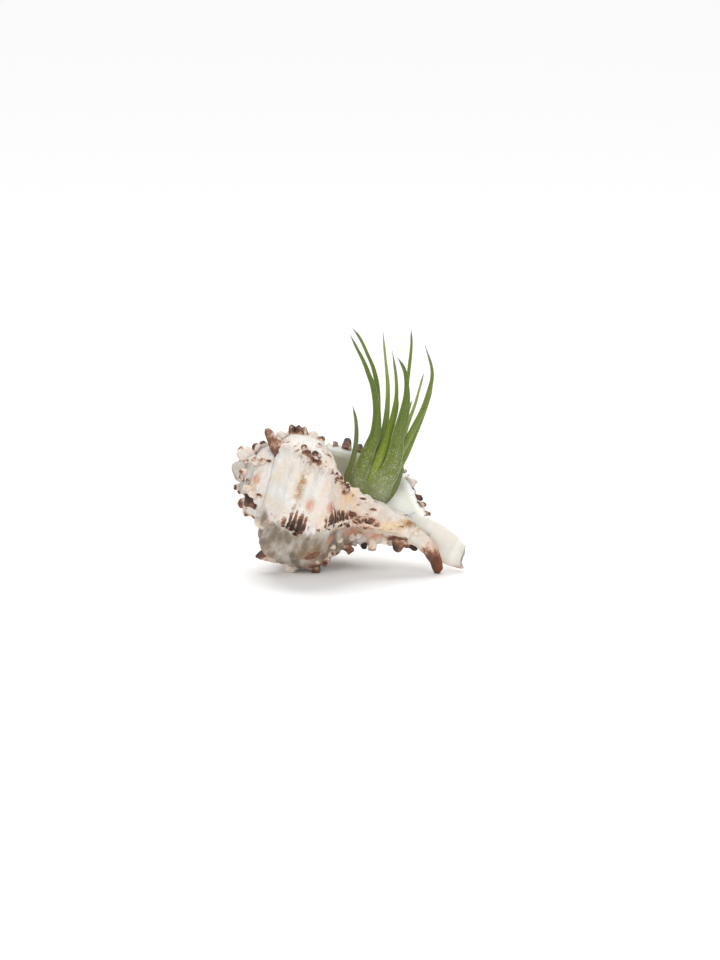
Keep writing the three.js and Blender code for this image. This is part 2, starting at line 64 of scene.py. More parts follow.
LOG = logging.getLogger("air_plant")
MM = 0.001
CENTRING = np.array([-0.7, 0.9, 0.0])  # puts the middle of the whole object over the origin

Array = np.ndarray
Colour = tuple[float, float, float, float]
Socket = bpy.types.NodeSocket


# ---------------------------------------------------------------- numbers and curves


def smoothstep(low: float, high: float, x: Array) -> Array:
    """Smooth share of the way from low to high.

    Args:
        low: Value that gives 0.
        high: Value that gives 1.
        x: Values between them.

    Returns:
        Shares from 0 to 1, flat at both ends.
    """
    s = np.clip((np.asarray(x, float) - low) / (high - low), 0.0, 1.0)
    return s * s * (3.0 - 2.0 * s)


def eased(low: float, high: float, x: float) -> float:
    """Smooth share of the way from low to high, for one number."""
    return float(smoothstep(low, high, np.array(x)))


def window(x: Array | float, start: float, full: float, fading: float, end: float) -> Array:
    """Smooth window: 0 up to its start, 1 from full to fading and 0 from its end."""
    return smoothstep(start, full, x) * smoothstep(end, fading, x)


def bump(distance: Array, width: float) -> Array:
    """Bell curve of a distance, 1 at the middle."""
    return np.exp(-((distance / width) ** 2))


def curve_at(points: Array, index: Array) -> Array:
    """Catmull-Rom curve through points, read at fractional indices.

    Args:
        points: One point a row.
        index: Fractional indices.

    Returns:
        One point for each index.
    """
    last = len(points) - 1
    index = np.asarray(index, float)
    i = np.clip(np.floor(index).astype(int), 0, last - 1)
    s = (index - i)[..., None]
    a, b, c, d = (points[np.clip(i + k, 0, last)] for k in (-1, 0, 1, 2))
    return b + 0.5 * s * (c - a + s * (2 * a - 5 * b + 4 * c - d + s * (3 * (b - c) + d - a)))


def centripetal(points: Array, index: float) -> Array:
    """Centripetal Catmull-Rom curve, which doesn't loop where its points are close together.

    Args:
        points: One point a row.
        index: Fractional index.

    Returns:
        The point there.
    """
    ends = [2 * points[0] - points[1], *points, 2 * points[-1] - points[-2]]
    i = min(len(points) - 2, int(index))
    p0, p1, p2, p3 = ends[i : i + 4]
    pairs = ((p0, p1), (p1, p2), (p2, p3))
    d0, d1, d2 = (max(1e-4, float(np.linalg.norm(q - p)) ** 0.5) for p, q in pairs)
    t1 = ((p1 - p0) / d0 - (p2 - p0) / (d0 + d1) + (p2 - p1) / d1) * d1
    t2 = ((p2 - p1) / d1 - (p3 - p1) / (d1 + d2) + (p3 - p2) / d2) * d1
    s = index - i
    cubic = 2 * p1 - 2 * p2 + t1 + t2
    return p1 + s * (t1 + s * (-3 * p1 + 3 * p2 - 2 * t1 - t2 + s * cubic))


def unit(vectors: Array) -> Array:
    """Vectors of length 1."""
    return vectors / np.maximum(np.linalg.norm(vectors, axis=-1, keepdims=True), 1e-9)


def heading(points: Array, index: float, step: float) -> Array:
    """Direction of the centripetal curve.

    Args:
        points: One point a row.
        index: Fractional index.
        step: How far to each side it looks.

    Returns:
        The unit vector there.
    """
    last = len(points) - 1
    ahead = centripetal(points, min(index + step, last))
    return unit(ahead - centripetal(points, max(index - step, 0)))


def uneven(points: Array, wavelength: float, seed: int, waves: int = 9) -> Array:
    """Soft seeded unevenness in space, the sum of a few slanted waves.

    Args:
        points: One point a row, in millimetres.
        wavelength: Rough distance between its bumps.
        seed: Draws the waves.
        waves: How many there are.

    Returns:
        One value a point, mostly between -1 and 1.
    """
    draw = np.random.default_rng(seed)
    total = np.zeros(points.shape[:-1])
    for _ in range(waves):
        direction = unit(draw.normal(size=3))
        stretch = draw.uniform(0.7, 1.5) / wavelength
        total += np.sin(2 * math.pi * stretch * (points @ direction) + draw.uniform(0, 6.3))
    return total / math.sqrt(waves)


# ---------------------------------------------------------------- colours and node trees


def linear(colour: str) -> Colour:
    """Turns an sRGB hex colour to linear light.

    Args:
        colour: Six hex digits.

    Returns:
        Red, green, blue and an alpha of 1.
    """
    parts = [int(colour[i : i + 2], 16) / 255 for i in (0, 2, 4)]
    red, green, blue = (c / 12.92 if c <= 0.04045 else ((c + 0.055) / 1.055) ** 2.4 for c in parts)
    return (red, green, blue, 1.0)


SMOOTH = {"interpolation_type": "SMOOTHSTEP"}  # a range that eases in and out


class Tree:
    """The node tree of one new material."""

    def __init__(self, name: str) -> None:
        """Makes an empty material with its surface shader and its output.

        Args:
            name: Name of the material.
        """
        self.material = bpy.data.materials.new(name)
        self.material.use_nodes = True
        self.nodes = self.material.node_tree.nodes
        self.nodes.clear()
        self.shader = self.add("BsdfPrincipled").node
        self.feed(self.nodes.new("ShaderNodeOutputMaterial"), "Surface", self.shader.outputs["BSDF"])

    def feed(self, node: bpy.types.Node, socket: str | int, value: Any) -> None:
        """Links a node's socket to an output socket, or sets its value.

        Args:
            node: The node.
            socket: Name or number of its socket.
            value: An output socket or a value.
        """
        if isinstance(value, Socket):
            self.material.node_tree.links.new(value, node.inputs[socket])
        else:
            node.inputs[socket].default_value = value

    def add(
        self,
        kind: str,
        *values: Any,
        out: str | int = 0,
        sockets: dict[str | int, Any] | None = None,
        **settings: Any,
    ) -> Socket:
        """Adds a node.

        Args:
            kind: Blender's name of the node type, after "ShaderNode".
            *values: What feeds its first sockets, in their order.
            out: Name or number of the output that is handed back.
            sockets: What feeds others of its sockets.
            **settings: Properties of the node.

        Returns:
            One of its outputs.
        """
        node = self.nodes.new("ShaderNode" + kind)
        for key, value in settings.items():
            setattr(node, key, value)
        for socket, value in [*enumerate(values), *(sockets or {}).items()]:
            self.feed(node, socket, value)
        return node.outputs[out]

    def coated(self, colour: Any, coats: Iterable[tuple[Any, Any]]) -> Socket:
        """Lays coats of colour one over the other.

        Args:
            colour: What lies under them.
            coats: The mask and the colour of each.

        Returns:
            The colour that shows.
        """
        for mask, coat in coats:
            colour = self.add("Mix", out=2, sockets={0: mask, 6: colour, 7: coat}, data_type="RGBA")
        return colour

    def finish(self, sockets: dict[str, Any]) -> bpy.types.Material:
        """Feeds or sets sockets of the surface shader and hands back the material.

        Args:
            sockets: An output socket or a value for each.

        Returns:
            The material.
        """
        for socket, value in sockets.items():
            self.feed(self.shader, socket, value)
        return self.material


def with_stops(ramp: Socket, stops: Sequence[tuple[float, str]]) -> Socket:
    """Gives the colour ramp behind an output its sRGB hex stops.

    Args:
        ramp: The ramp's output.
        stops: Positions and colours.

    Returns:
        The same output.
    """
    elements = ramp.node.color_ramp.elements
    while len(elements) < len(stops):
        elements.new(0.5)
    for element, (position, colour) in zip(elements, stops):
        element.position = position
        element.color = linear(colour)
    return ramp


@dataclass(frozen=True)
class Grain:
    """A cloudy pattern of a real size."""

    size_mm: float
    detail: float = 2.0
    rough: float = 0.5
    scale: tuple[float, float, float] = (1.0, 1.0, 1.0)  # under 1 draws it out along that axis

    def draw(self, t: Tree, coordinates: Socket) -> Socket:
        """Adds the pattern to a tree, as numbers round 0.5.

        Args:
            t: The tree.
            coordinates: Where the pattern lies.

        Returns:
            Its output.
        """
        scaled = t.add("VectorMath", coordinates, self.scale, operation="MULTIPLY")
        cloud = {"Scale": 1.0 / (self.size_mm * MM), "Detail": self.detail, "Roughness": self.rough}
        return t.add("TexNoise", out="Fac", sockets={"Vector": scaled, **cloud})


@dataclass(frozen=True)
class Spots:
    """Round spots scattered at a real spacing."""

    spacing_mm: float
    inner: float  # radius of a spot's full part, as a share of the spacing
    outer: float  # radius where it ends
    randomness: float = 1.0

    def draw(self, t: Tree, coordinates: Socket, ragged: Socket | float = 0.5) -> Socket:
        """Adds the spots to a tree.

        Args:
            t: The tree.
            coordinates: Where the pattern lies.
            ragged: Noise that makes their edges uneven.

        Returns:
            1 on the spots and 0 between them.
        """
        cells = {"Scale": 1.0 / (self.spacing_mm * MM), "Randomness": self.randomness}
        distance = t.add("TexVoronoi", out="Distance", sockets={"Vector": coordinates, **cells})
        distance = t.add("Math", distance, 0.25, operation="SUBTRACT")
        distance = t.add("Math", ragged, 0.5, distance, operation="MULTIPLY_ADD")
        return t.add("MapRange", distance, self.inner, self.outer, 1.0, 0.0, **SMOOTH)


class Tint(Enum):
    """What a mark paints on the shell."""

    HORN = "horn"
    BLUSH = "blush"
    OCHRE = "ochre"
    CREAM = "cream"
    # Grime and painted shade: this tint darkens the belly where it faces the floor and the top of the
    # whorl, besides real stains.
    GRIME_AND_SHADE = "grime"
    AMBER = "amber"


# The masks painted on the shell's points: the tints, the glossy lining and where each pattern shows.
LAYERS = (*(tint.value for tint in Tint), "porcelain", "bars", "specks", "blots")


@dataclass(frozen=True)
class WornAragonite:
    """Sea-worn aragonite of a murex shell: chalky outside with horn-brown spines and orange blushes, and
    smooth like porcelain inside the mouth. The colours come from painted masks broken up by noise; the bars
    and specks are drawn from the shell's own growth lines."""

    chalk: str = "ebe8e3"
    shade: str = "d6cec6"
    cream: str = "efd7b2"
    # Colour of the grime coat, which is partly real grime and partly painted shade on the belly and the top
    # of the whorl.
    grime: str = "796e5f"
    ochre: str = "a97f48"
    blush: str = "cf8a6e"
    amber: str = "8f4812"
    porcelain: str = "f8f5ee"
    horn_stops: tuple[tuple[float, str], ...] = (
        (0.0, "dcc6ae"), (0.2, "bd9273"), (0.42, "80543c"), (0.64, "452c23"), (1.0, "1c1312"),
    )
    streaks: Grain = Grain(1.1, 4, 0.6, (1.0, 0.14, 1.0))  # growth lines, which run round the whorl
    bands: Grain = Grain(4.5, 3, 0.55, (1.0, 0.3, 1.0))
    clouds: Grain = Grain(8.0, 3, 0.55)
    stains: Grain = Grain(2.4, 5, 0.64)
    pores: Grain = Grain(0.6, 4, 0.62)
    pits: Grain = Grain(2.0, 3, 0.6)
    specks: Spots = Spots(2.5, 0.12, 0.36, 0.85)
    blots: Spots = Spots(5.2, 0.2, 0.5, 0.85)
    bar_spacing_mm: float = 2.0
    bar_wander: float = 11.0  # radians by which the bars crowd and spread
    bar_fray: float = 3.4  # radians by which their edges stray
    relief_mm: float = 0.75
    roughness: float = 0.55
    gloss: float = 0.2  # roughness of the lining
    refraction: float = 1.53
    light_depth_mm: float = 2.4  # how deep light goes into the thin lip

    def build(self) -> bpy.types.Material:
        """Makes the material.

        Returns:
            The material.
        """
        t = Tree("worn_aragonite")
        place = t.add("TexCoord", out="Object")
        growth = t.add("Attribute", out="Vector", attribute_name="growth")
        layer = {name: t.add("Attribute", out="Fac", attribute_name=name) for name in LAYERS}
        streaks, bands = (grain.draw(t, growth) for grain in (self.streaks, self.bands))
        clouds, stains = (grain.draw(t, place) for grain in (self.clouds, self.stains))
        blots = t.add("Math", self.blots.draw(t, growth, stains), layer["blots"], operation="MULTIPLY")
        faint = t.add("Math", blots, 0.75, operation="MULTIPLY")
        blush = self.broken(t, layer["blush"], streaks, (0.3, 0.62, 0.3))
        horn = self.horn(t, layer, growth, stains, bands, blots)
        lining = layer["porcelain"]
        coats = (
            (t.add("MapRange", clouds, 0.42, 0.7, 0.0, 0.6, **SMOOTH), linear(self.shade)),
            (self.broken(t, layer["cream"], bands, (0.36, 0.62, 0.15)), linear(self.cream)),
            # The grime coat, which also lays painted shade over the belly and the top of the whorl.
            (self.broken(t, layer["grime"], bands, (0.34, 0.64, 0.45)), linear(self.grime)),
            (self.broken(t, layer["ochre"], stains, (0.38, 0.6, 0.05)), linear(self.ochre)),
            (t.add("Math", blush, faint, operation="MAXIMUM"), linear(self.blush)),
            # Horn brown is darkest where it is thick, and ends in a ragged orange edge.
            (
                t.add("MapRange", horn, 0.16, 0.36, **SMOOTH),
                with_stops(t.add("ValToRGB", horn), self.horn_stops),
            ),
            (self.broken(t, layer["amber"], streaks, (0.3, 0.62, 0.45)), linear(self.amber)),
            (lining, linear(self.porcelain)),
        )
        matt = t.add("Math", 1.0, lining, operation="SUBTRACT")
        pits = t.add("Math", self.pits.draw(t, place), 0.9, operation="MULTIPLY")
        height = t.add("Math", self.pores.draw(t, place), 0.45, pits, operation="MULTIPLY_ADD")
        height = t.add("Math", streaks, height, operation="ADD")
        height = t.add("Math", matt, height, operation="MULTIPLY")
        bumps = {"Height": height, "Distance": self.relief_mm * MM, "Strength": 1.0}
        dulling = self.roughness - self.gloss
        return t.finish({
            "Base Color": t.coated(linear(self.chalk), coats),
            "Roughness": t.add("Math", matt, dulling, self.gloss, operation="MULTIPLY_ADD"),
            "Specular IOR Level": 0.5,
            "IOR": self.refraction,
            "Subsurface Weight": t.add("Math", lining, 0.5, 0.08, operation="MULTIPLY_ADD"),
            "Subsurface Radius": (1.0, 0.85, 0.7),
            "Subsurface Scale": self.light_depth_mm * MM,
            "Normal": t.add("Bump", sockets=bumps),
        })

    def broken(self, t: Tree, mask: Socket, noise: Socket, span: tuple[float, float, float]) -> Socket:
        """Breaks a painted mask up.

        Args:
            t: The tree.
            mask: The mask.
            noise: What breaks it up.
            span: Noise that thins it most, noise that leaves it whole, and the least share that stays.

        Returns:
            The broken mask.
        """
        low, high, least = span
        share = t.add("MapRange", noise, low, high, least, 1.0, **SMOOTH)
        return t.add("Math", mask, share, operation="MULTIPLY")

    def horn(
        self,
        t: Tree,
        layer: dict[str, Socket],
        growth: Socket,
        stains: Socket,
        bands: Socket,
        blots: Socket,
    ) -> Socket:
        """How brown the shell is: the spines, the specks, the bars and the cores of the blots.

        Args:
            t: The tree.
            layer: The painted masks.
            growth: Coordinates on the shell.
            stains: Fine noise.
            bands: Coarse noise.
            blots: The blots.

        Returns:
            0 on chalk, more on thicker horn.
        """
        specks = self.specks.draw(t, growth, stains)
        horn = t.add("Math", specks, layer["specks"], operation="MULTIPLY")
        cores = t.add("MapRange", blots, 0.8, 1.0, 0.0, 0.55, **SMOOTH)
        for mask in (cores, self.bars(t, layer["bars"], growth, stains, bands), layer["horn"]):
            horn = t.add("Math", horn, mask, operation="MAXIMUM")
        ragged = t.add("Math", stains, 0.5, operation="SUBTRACT")
        return t.add("Math", ragged, 0.9, horn, operation="MULTIPLY_ADD")

    def bars(self, t: Tree, mask: Socket, growth: Socket, ragged: Socket, wandering: Socket) -> Socket:
        """Dark bars along the growth lines.

        Args:
            t: The tree.
            mask: Where they show.
            growth: Coordinates on the shell.
            ragged: Fine noise that frays their edges.
            wandering: Coarse noise that crowds and spreads them.

        Returns:
            1 on the bars, less between them and 0 elsewhere.
        """
        arc = t.add("SeparateXYZ", growth, out="X")
        phase = t.add("Math", arc, 2 * math.pi / (self.bar_spacing_mm * MM), operation="MULTIPLY")
        phase = t.add("Math", wandering, self.bar_wander, phase, operation="MULTIPLY_ADD")
        phase = t.add("Math", ragged, self.bar_fray, phase, operation="MULTIPLY_ADD")
        wave = t.add("Math", phase, operation="SINE")
        wave = t.add("Math", ragged, 1.7, wave, operation="MULTIPLY_ADD")
        stripe = t.add("MapRange", wave, -0.3, 1.1, 0.42, 1.0, **SMOOTH)
        return t.add("Math", stripe, mask, operation="MULTIPLY")


@dataclass(frozen=True)
class ScalyLeaf:
    """Firm green leaf of an air plant under silvery water-drinking scales, close together near its base."""

    name: str
    base: str
    middle: str
    upper: str
    tip: str
    fibre_colour: str = "34451a"
    shadow_colour: str = "2f3f1c"
    edge_colour: str = "b3ba8c"
    bloom_colour: str = "a7b193"
    scale_colour: str = "d3d8c4"
    fibres: Grain = Grain(0.5, 3, 0.6)
    clouds: Grain = Grain(7.0, 3)
    patches: Grain = Grain(2.6, 4, 0.62)
    # Real scales are finer; these are as coarse as they need to be to show.
    small_scales: Spots = Spots(0.55, 0.2, 0.42)
    large_scales: Spots = Spots(1.045, 0.1547, 0.3249)
    fibre_mm: float = 0.22  # height of the fibres
    scale_mm: float = 0.12  # height of the scales
    roughness: float = 0.44

    def build(self) -> bpy.types.Material:
        """Makes the material.

        Returns:
            The material.
        """
        t = Tree(self.name)
        place = t.add("TexCoord", out="Object")
        blade = t.add("Attribute", out="Vector", attribute_name="blade")
        length, across = (
            t.add("Attribute", out="Fac", attribute_name=name) for name in ("length", "across")
        )
        fibres = self.fibres.draw(t, blade)
        cloud = t.add("Math", self.clouds.draw(t, place), 0.5, operation="SUBTRACT")
        wander = t.add("Math", cloud, 0.2, length, operation="MULTIPLY_ADD")
        shades = (self.base, self.middle, self.upper, self.upper, self.tip)
        stops = tuple(zip((0.0, 0.26, 0.62, 0.9, 1.0), shades))
        frayed = t.add("MapRange", fibres, 0.35, 0.65, 0.1, 0.7, **SMOOTH)
        off_middle = t.add("Math", across, operation="ABSOLUTE")
        patch = t.add("MapRange", self.patches.draw(t, place), 0.36, 0.6, 0.2, 1.0, **SMOOTH)
        bloom = t.add("MapRange", length, 0.0, 0.4, 0.34, 0.0, **SMOOTH)
        scales = self.scales(t, place, length, patch)
        coats = (
            (t.add("MapRange", fibres, 0.35, 0.7, 0.0, 0.34, **SMOOTH), linear(self.fibre_colour)),
            (t.add("MapRange", across, -0.2, -0.85, 0.0, 0.32, **SMOOTH), linear(self.shadow_colour)),
            (t.add("MapRange", off_middle, 0.84, 1.0, 0.0, frayed, **SMOOTH), linear(self.edge_colour)),
            (t.add("Math", bloom, patch, operation="MULTIPLY"), linear(self.bloom_colour)),
            (scales, linear(self.scale_colour)),
        )
        fine = {"Height": fibres, "Distance": self.fibre_mm * MM, "Strength": 1.0}
        under = t.add("Bump", sockets=fine)
        raised = {"Height": scales, "Distance": self.scale_mm * MM, "Strength": 1.0, "Normal": under}
        return t.finish({
            "Base Color": t.coated(with_stops(t.add("ValToRGB", wander), stops), coats),
            "Roughness": t.add("Math", scales, 0.3, self.roughness, operation="MULTIPLY_ADD"),
            "Subsurface Weight": 0.1,
            "Subsurface Radius": (0.5, 0.8, 0.2),
            "Subsurface Scale": 0.8 * MM,
            "Specular IOR Level": 0.3,
            "Normal": t.add("Bump", sockets=raised),
        })

    def scales(self, t: Tree, place: Socket, length: Socket, patch: Socket) -> Socket:
        """The scales, close together at the base and sparse higher up.

        Args:
            t: The tree.
            place: The leaf's coordinates.
            length: Share of the leaf's length.
            patch: Noise that gathers them in patches.

        Returns:
            1 on a scale and 0 beside it.
        """
        large = t.add("Math", self.large_scales.draw(t, place), 0.8, operation="MULTIPLY")
        both = t.add("Math", self.small_scales.draw(t, place), large, operation="MAXIMUM")
        many = t.add("MapRange", length, 0.02, 0.56, 1.0, 0.1, **SMOOTH)
        many = t.add("Math", many, patch, operation="MULTIPLY")
        return t.add("Math", both, many, operation="MULTIPLY")


@dataclass(frozen=True)
class DryStemFibre:
    """Dead leaf bases and root stubs of the stem: matt brown fibre in vertical strands."""

    light: str = "9a8158"
    dark: str = "4b3a26"
    strands: Grain = Grain(0.5, 4, 0.6, (1.0, 1.0, 0.12))
    relief_mm: float = 0.3

    def build(self) -> bpy.types.Material:
        """Makes the material.

        Returns:
            The material.
        """
        t = Tree("dry_stem_fibre")
        strands = self.strands.draw(t, t.add("TexCoord", out="Object"))
        lit = t.add("MapRange", strands, 0.35, 0.66, **SMOOTH)
        bumps = {"Height": strands, "Distance": self.relief_mm * MM, "Strength": 1.0}
        return t.finish({
            "Base Color": t.coated(linear(self.dark), [(lit, linear(self.light))]),
            "Roughness": t.add("MapRange", strands, 0.3, 0.7, 0.95, 0.75, **SMOOTH),
            "Normal": t.add("Bump", sockets=bumps),
        })


@dataclass(frozen=True)
class PaperSweep:
    """The pale paper that the object stands on."""

    colour: str = "f5f5f5"
    fibre_colour: str = "f9f9f9"
    fibres: Grain = Grain(1.5, 3)

    def build(self) -> bpy.types.Material:
        """Makes the material.

        Returns:
            The material.
        """
        t = Tree("paper_sweep")
        fibres = self.fibres.draw(t, t.add("TexCoord", out="Object"))
        colour = t.coated(linear(self.colour), [(fibres, linear(self.fibre_colour))])
        return t.finish({"Base Color": colour, "Roughness": 0.9, "Specular IOR Level": 0.2})


# ---------------------------------------------------------------- pieces

RANK_STEP = 2**17  # more than the points of any piece


def face_rank(face: bmesh.types.BMFace) -> float:
    """Place of a face in the order of its lowest points."""
    first, second, third = sorted(vertex.index for vertex in face.verts)[:3]
    return float((first * RANK_STEP + second) * RANK_STEP + third)


def finish_piece(
    name: str,
    bm: bmesh.types.BMesh,
    material: bpy.types.Material,
    node: str,
) -> bpy.types.Object:
    """Turns a mesh in millimetres into a piece of the object.

    Args:
        name: Name of the piece.
        bm: Its mesh, which is freed.
        material: Its finish.
        node: The solid that it stands for.

    Returns:
        The piece, riding on the root body.
    """
    # Extruding leaves the order of the faces to chance, so it is fixed here.
    bm.verts.index_update()
    bm.faces.sort(key=face_rank)
    bmesh.ops.scale(bm, vec=(MM, MM, MM), verts=bm.verts)
    low, high = CAD_BOX
    for vertex in bm.verts:
        vertex.co = Vector(min(max(c, a), b) for c, a, b in zip(vertex.co, low, high))
    for face in bm.faces:
        face.smooth = True
    mesh = bpy.data.meshes.new(name)
    bm.to_mesh(mesh)
    bm.free()
    mesh.materials.append(material)
    piece = bpy.data.objects.new(name, mesh)
    bpy.context.scene.collection.objects.link(piece)
    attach(piece, "root")
    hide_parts(node)
    triangles = sum(len(polygon.vertices) - 2 for polygon in mesh.polygons)
    LOG.info("%s: %d triangles", name, triangles)
    return piece


def face_outwards(bm: bmesh.types.BMesh) -> None:
    """Splits the faces of more than four corners and turns every face outwards."""
    bmesh.ops.triangulate(bm, faces=[f for f in bm.faces if len(f.verts) > 4])
    bmesh.ops.recalc_face_normals(bm, faces=bm.faces)


def open_edges(bm: bmesh.types.BMesh) -> list[bmesh.types.BMEdge]:
    """Edges of a mesh that bound a hole."""
    return [edge for edge in bm.edges if edge.is_boundary]


def grow_tube(
    bm: bmesh.types.BMesh,
    sides: int,
    rings: int,
    place: Callable[[float, Array], Array],
) -> list[bmesh.types.BMVert]:
    """Extrudes a ring of points step by step and closes both ends.

    Args:
        bm: The mesh that the tube is added to.
        sides: Points round the ring.
        rings: Number of rings.
        place: Gives the places of a ring's points from its share of the length and their turns.

    Returns:
        The points of the tube, ring by ring.
    """
    first = bmesh.ops.create_circle(bm, segments=sides, radius=1.0, cap_ends=False)["verts"]
    ring = sorted(first, key=lambda v: math.atan2(v.co.y, v.co.x))
    loop = list(dict.fromkeys(edge for vertex in ring for edge in vertex.link_edges))
    made = list(ring)
    start = ring
    turns = 2 * math.pi * np.arange(sides) / sides
    for step in range(rings):
        if step:
            geom = bmesh.ops.extrude_edge_only(bm, edges=loop)["geom"]
            new = {v for v in geom if isinstance(v, bmesh.types.BMVert)}
            loop = [e for e in geom if isinstance(e, bmesh.types.BMEdge) and new.issuperset(e.verts)]
            ring = [next(e.other_vert(v) for e in v.link_edges if e.other_vert(v) in new) for v in ring]
            made += ring
        for vertex, point in zip(ring, place(step / (rings - 1), turns)):
            vertex.co = Vector(point)
    for end in (start, ring):
        bmesh.ops.contextual_create(bm, geom=end)
    return made


# ---------------------------------------------------------------- the shell


class Form(Enum):
    """Side view of a spine: heights and widths from its root to its tip, for a length and radius of 1."""

    SPIKE = ((-0.3, 1.3), (0.05, 1.05), (0.4, 0.66), (0.75, 0.36), (1.0, 0.08))
    HORN = ((-0.2, 1.35), (0.1, 1.05), (0.42, 0.78), (0.76, 0.6), (0.96, 0.36), (1.0, 0.06))
    KNOB = ((-0.5, 1.4), (0.1, 1.15), (0.5, 0.95), (0.85, 0.66), (1.0, 0.12))
    CUP = ((-0.5, 1.2), (0.2, 0.85), (0.7, 0.9), (1.0, 0.8), (0.92, 0.5), (0.6, 0.3), (0.5, 0.06))


@dataclass(frozen=True)
class Mark:
    """A stain on the shell's outer surface."""

    tint: Tint
    turns: float
    row: float
    round_mm: float  # half its length round the whorl
    along_mm: float  # half its width along the outline
    strength: float = 1.0


@dataclass(frozen=True)
class Spine:
    """A hollow spine, knob or frill that stands on the shell."""

    turns: float
    row: float
    length: float
    radius: float
    form: Form = Form.KNOB
    sweep: float = 0.0  # how far it leans back over the older shell
    lean: float = 0.0  # how far it leans towards the canal
    root_horn: float = 0.3  # how brown it is at its root, halfway up and at its tip
    horn: float = 0.8
    crown: float = 0.8
    curl: float = 0.1  # how far its tip bends back


@dataclass
class MurexShell:
    """The worn shell: a spiral body with ribs, spines, a porcelain mouth, a broad canal and a claw."""

    apex: tuple[float, float, float] = (-46.4, -3.2, 42.6)
    axis_pitch: float = 20.4
    lip_angle: float = 145.0
    expansion: float = 1.72
    whorls: float = 3.4
    wall: float = 2.2
    rim_bulge: float = 0.55
    outline: tuple[tuple[float, float], ...] = (
        (38 / expansion, 33.5 / expansion), (25, 25), (30, 31), (38, 33.5), (47, 33), (55, 29), (61, 20.5),
        (66.5, 12.2), (72.5, 9.2), (77, 7.8), (81, 6.2), (83, 4.4), (84, 1.5),
    )
    lip_outline: tuple[tuple[float, float], ...] = (
        (38 / expansion, 33.5 / expansion), (25, 22.5), (30, 25.5), (40, 27.5), (52, 29.5), (61, 29.4),
        (68, 24.8), (73, 16), (77.6, 10), (80.4, 5.6), (81.4, 3.4), (82.2, 2.2), (82.8, 1),
    )
    suture_row: int = 3
    neck_rows: tuple[float, float] = (6, 9.5)
    neck_growth: tuple[float, float] = (0.25, 0.75)
    flare_turns: float = 0.13
    ribs: tuple[float, ...] = (0, 0.167, 0.36, 0.542, 0.71, 0.9)
    rib_bends: tuple[float, ...] = (0, 0, 0, -0.085, 0.06, 0)  # turns by which each strays at the shoulder
    rib_height: float = 2.8
    rib_widths: tuple[float, float] = (0.011, 0.046)  # towards the mouth and away from it
    scallop: float = 0.006  # how far each cord juts over the rib's steep side
    spire_rib_turns: float = 0.17
    cord_spacing: float = 2.7
    cord_height: float = 0.3
    fine_cord_height: float = 0.12  # three of them to a cord
    lamella_spacing: float = 2.1
    lamella_height: float = 0.06
    bead_spacing: float = 4.4
    bead_height: float = 1.0
    wear: tuple[tuple[float, float, int], ...] = (  # depth, wavelength and seed
        (0.3, 11.0, 3), (0.17, 4.6, 4), (0.08, 2.2, 5),
    )
    bar_clusters: tuple[tuple[float, float, float], ...] = (  # row, width in rows and strength
        (3.3, 0.62, 1.0), (5.9, 0.85, 0.95), (7.6, 0.5, 0.55),
    )
    plain_turns: float = 0.66  # where the pattern of the growth lines isn't sheared
    columns: int = 320  # in one whorl
    inner_columns: int = 37  # behind the lip
    inner_columns_per_whorl: int = 60
    rim_columns: int = 5
    row_spacing: float = 0.75
    dome_steps: tuple[tuple[float, float], ...] = ((0.35, 0.4), (0.45, 0.32), (0.6, 0.16))  # share and rise
    apex_reach: float = 12.0  # how far from the axis the open start of the spire is looked for
    canal_path: tuple[tuple[float, ...], ...] = (
        (14, 4, 21.5), (24, 1.5, 16.8), (32, -0.5, 12.4), (39, -1.5, 8), (44.6, -2, 4.8),
    )
    canal_mesh: tuple[int, int] = (40, 64)  # sides and rings
    canal_length: float = 38.0
    canal_across: tuple[float, float, float] = (0.15, 0.48, 0.86)
    canal_widths: tuple[float, ...] = (14, 11.5, 11.6, 12.2, 9.6)
    canal_thickness: float = 2.0
    canal_hollow: float = 1.8
    canal_lobe: float = 2.6  # how far the canal's lower corner juts out, and its upper corner draws back
    canal_root: tuple[float, float, float] = (1.9, 2.6, 4.7)  # how its start bends to lie in the lip's wall
    canal_rooted: float = 0.5  # share of its length that does so
    canal_swell: float = 3.0  # how far its floor then rises over the end of the lip
    canal_crowding: float = 1.7  # how much closer its rings are at the end
    claw_path: tuple[tuple[float, ...], ...] = (
        (20, -4.6, 17.6), (27.4, -6.6, 13.4), (32.6, -7.3, 7.4), (35.2, -7, 0.2),
    )
    claw_radii: tuple[tuple[float, float], ...] = ((3.9, 3.2), (3.2, 2.6), (2.6, 2.1), (1.9, 1.3))
    claw_across: tuple[float, float, float] = (1.0, 0.0, 0.4)
    claw_mesh: tuple[int, int] = (22, 40)
    claw_length: float = 26.0
    spine_mesh: tuple[int, int] = (18, 13)
    knob_mesh: tuple[int, int] = (12, 9)  # of the spines that are no longer than a knob
    knob_length: float = 4.0
    spine_fold: float = 0.34  # how far a spine's open side is pushed in, as a share of its depth
    spine_waves: float = 0.22  # how far its edge waves, as a share of its radius
    finish: WornAragonite = field(default_factory=WornAragonite)

    def __post_init__(self) -> None:
        """Works out the directions of the axis and the painted layers."""
        pitch = math.radians(self.axis_pitch)
        self.axis = np.array([math.cos(pitch), 0.0, -math.sin(pitch)])
        self.front = np.array([0.0, -1.0, 0.0])
        self.upper = np.cross(self.front, self.axis)
        self.plain_curve = np.array(self.outline, float)
        self.lip_curve = np.array(self.lip_outline, float)
        self.layers: dict[str, Any] = {}

    def new_mesh(self) -> bmesh.types.BMesh:
        """Starts a mesh that has every painted layer.

        Returns:
            The empty mesh.
        """
        bm = bmesh.new()
        for name in LAYERS:
            self.layers[name] = bm.verts.layers.float.new(name)
        self.layers["growth"] = bm.verts.layers.float_vector.new("growth")
        return bm

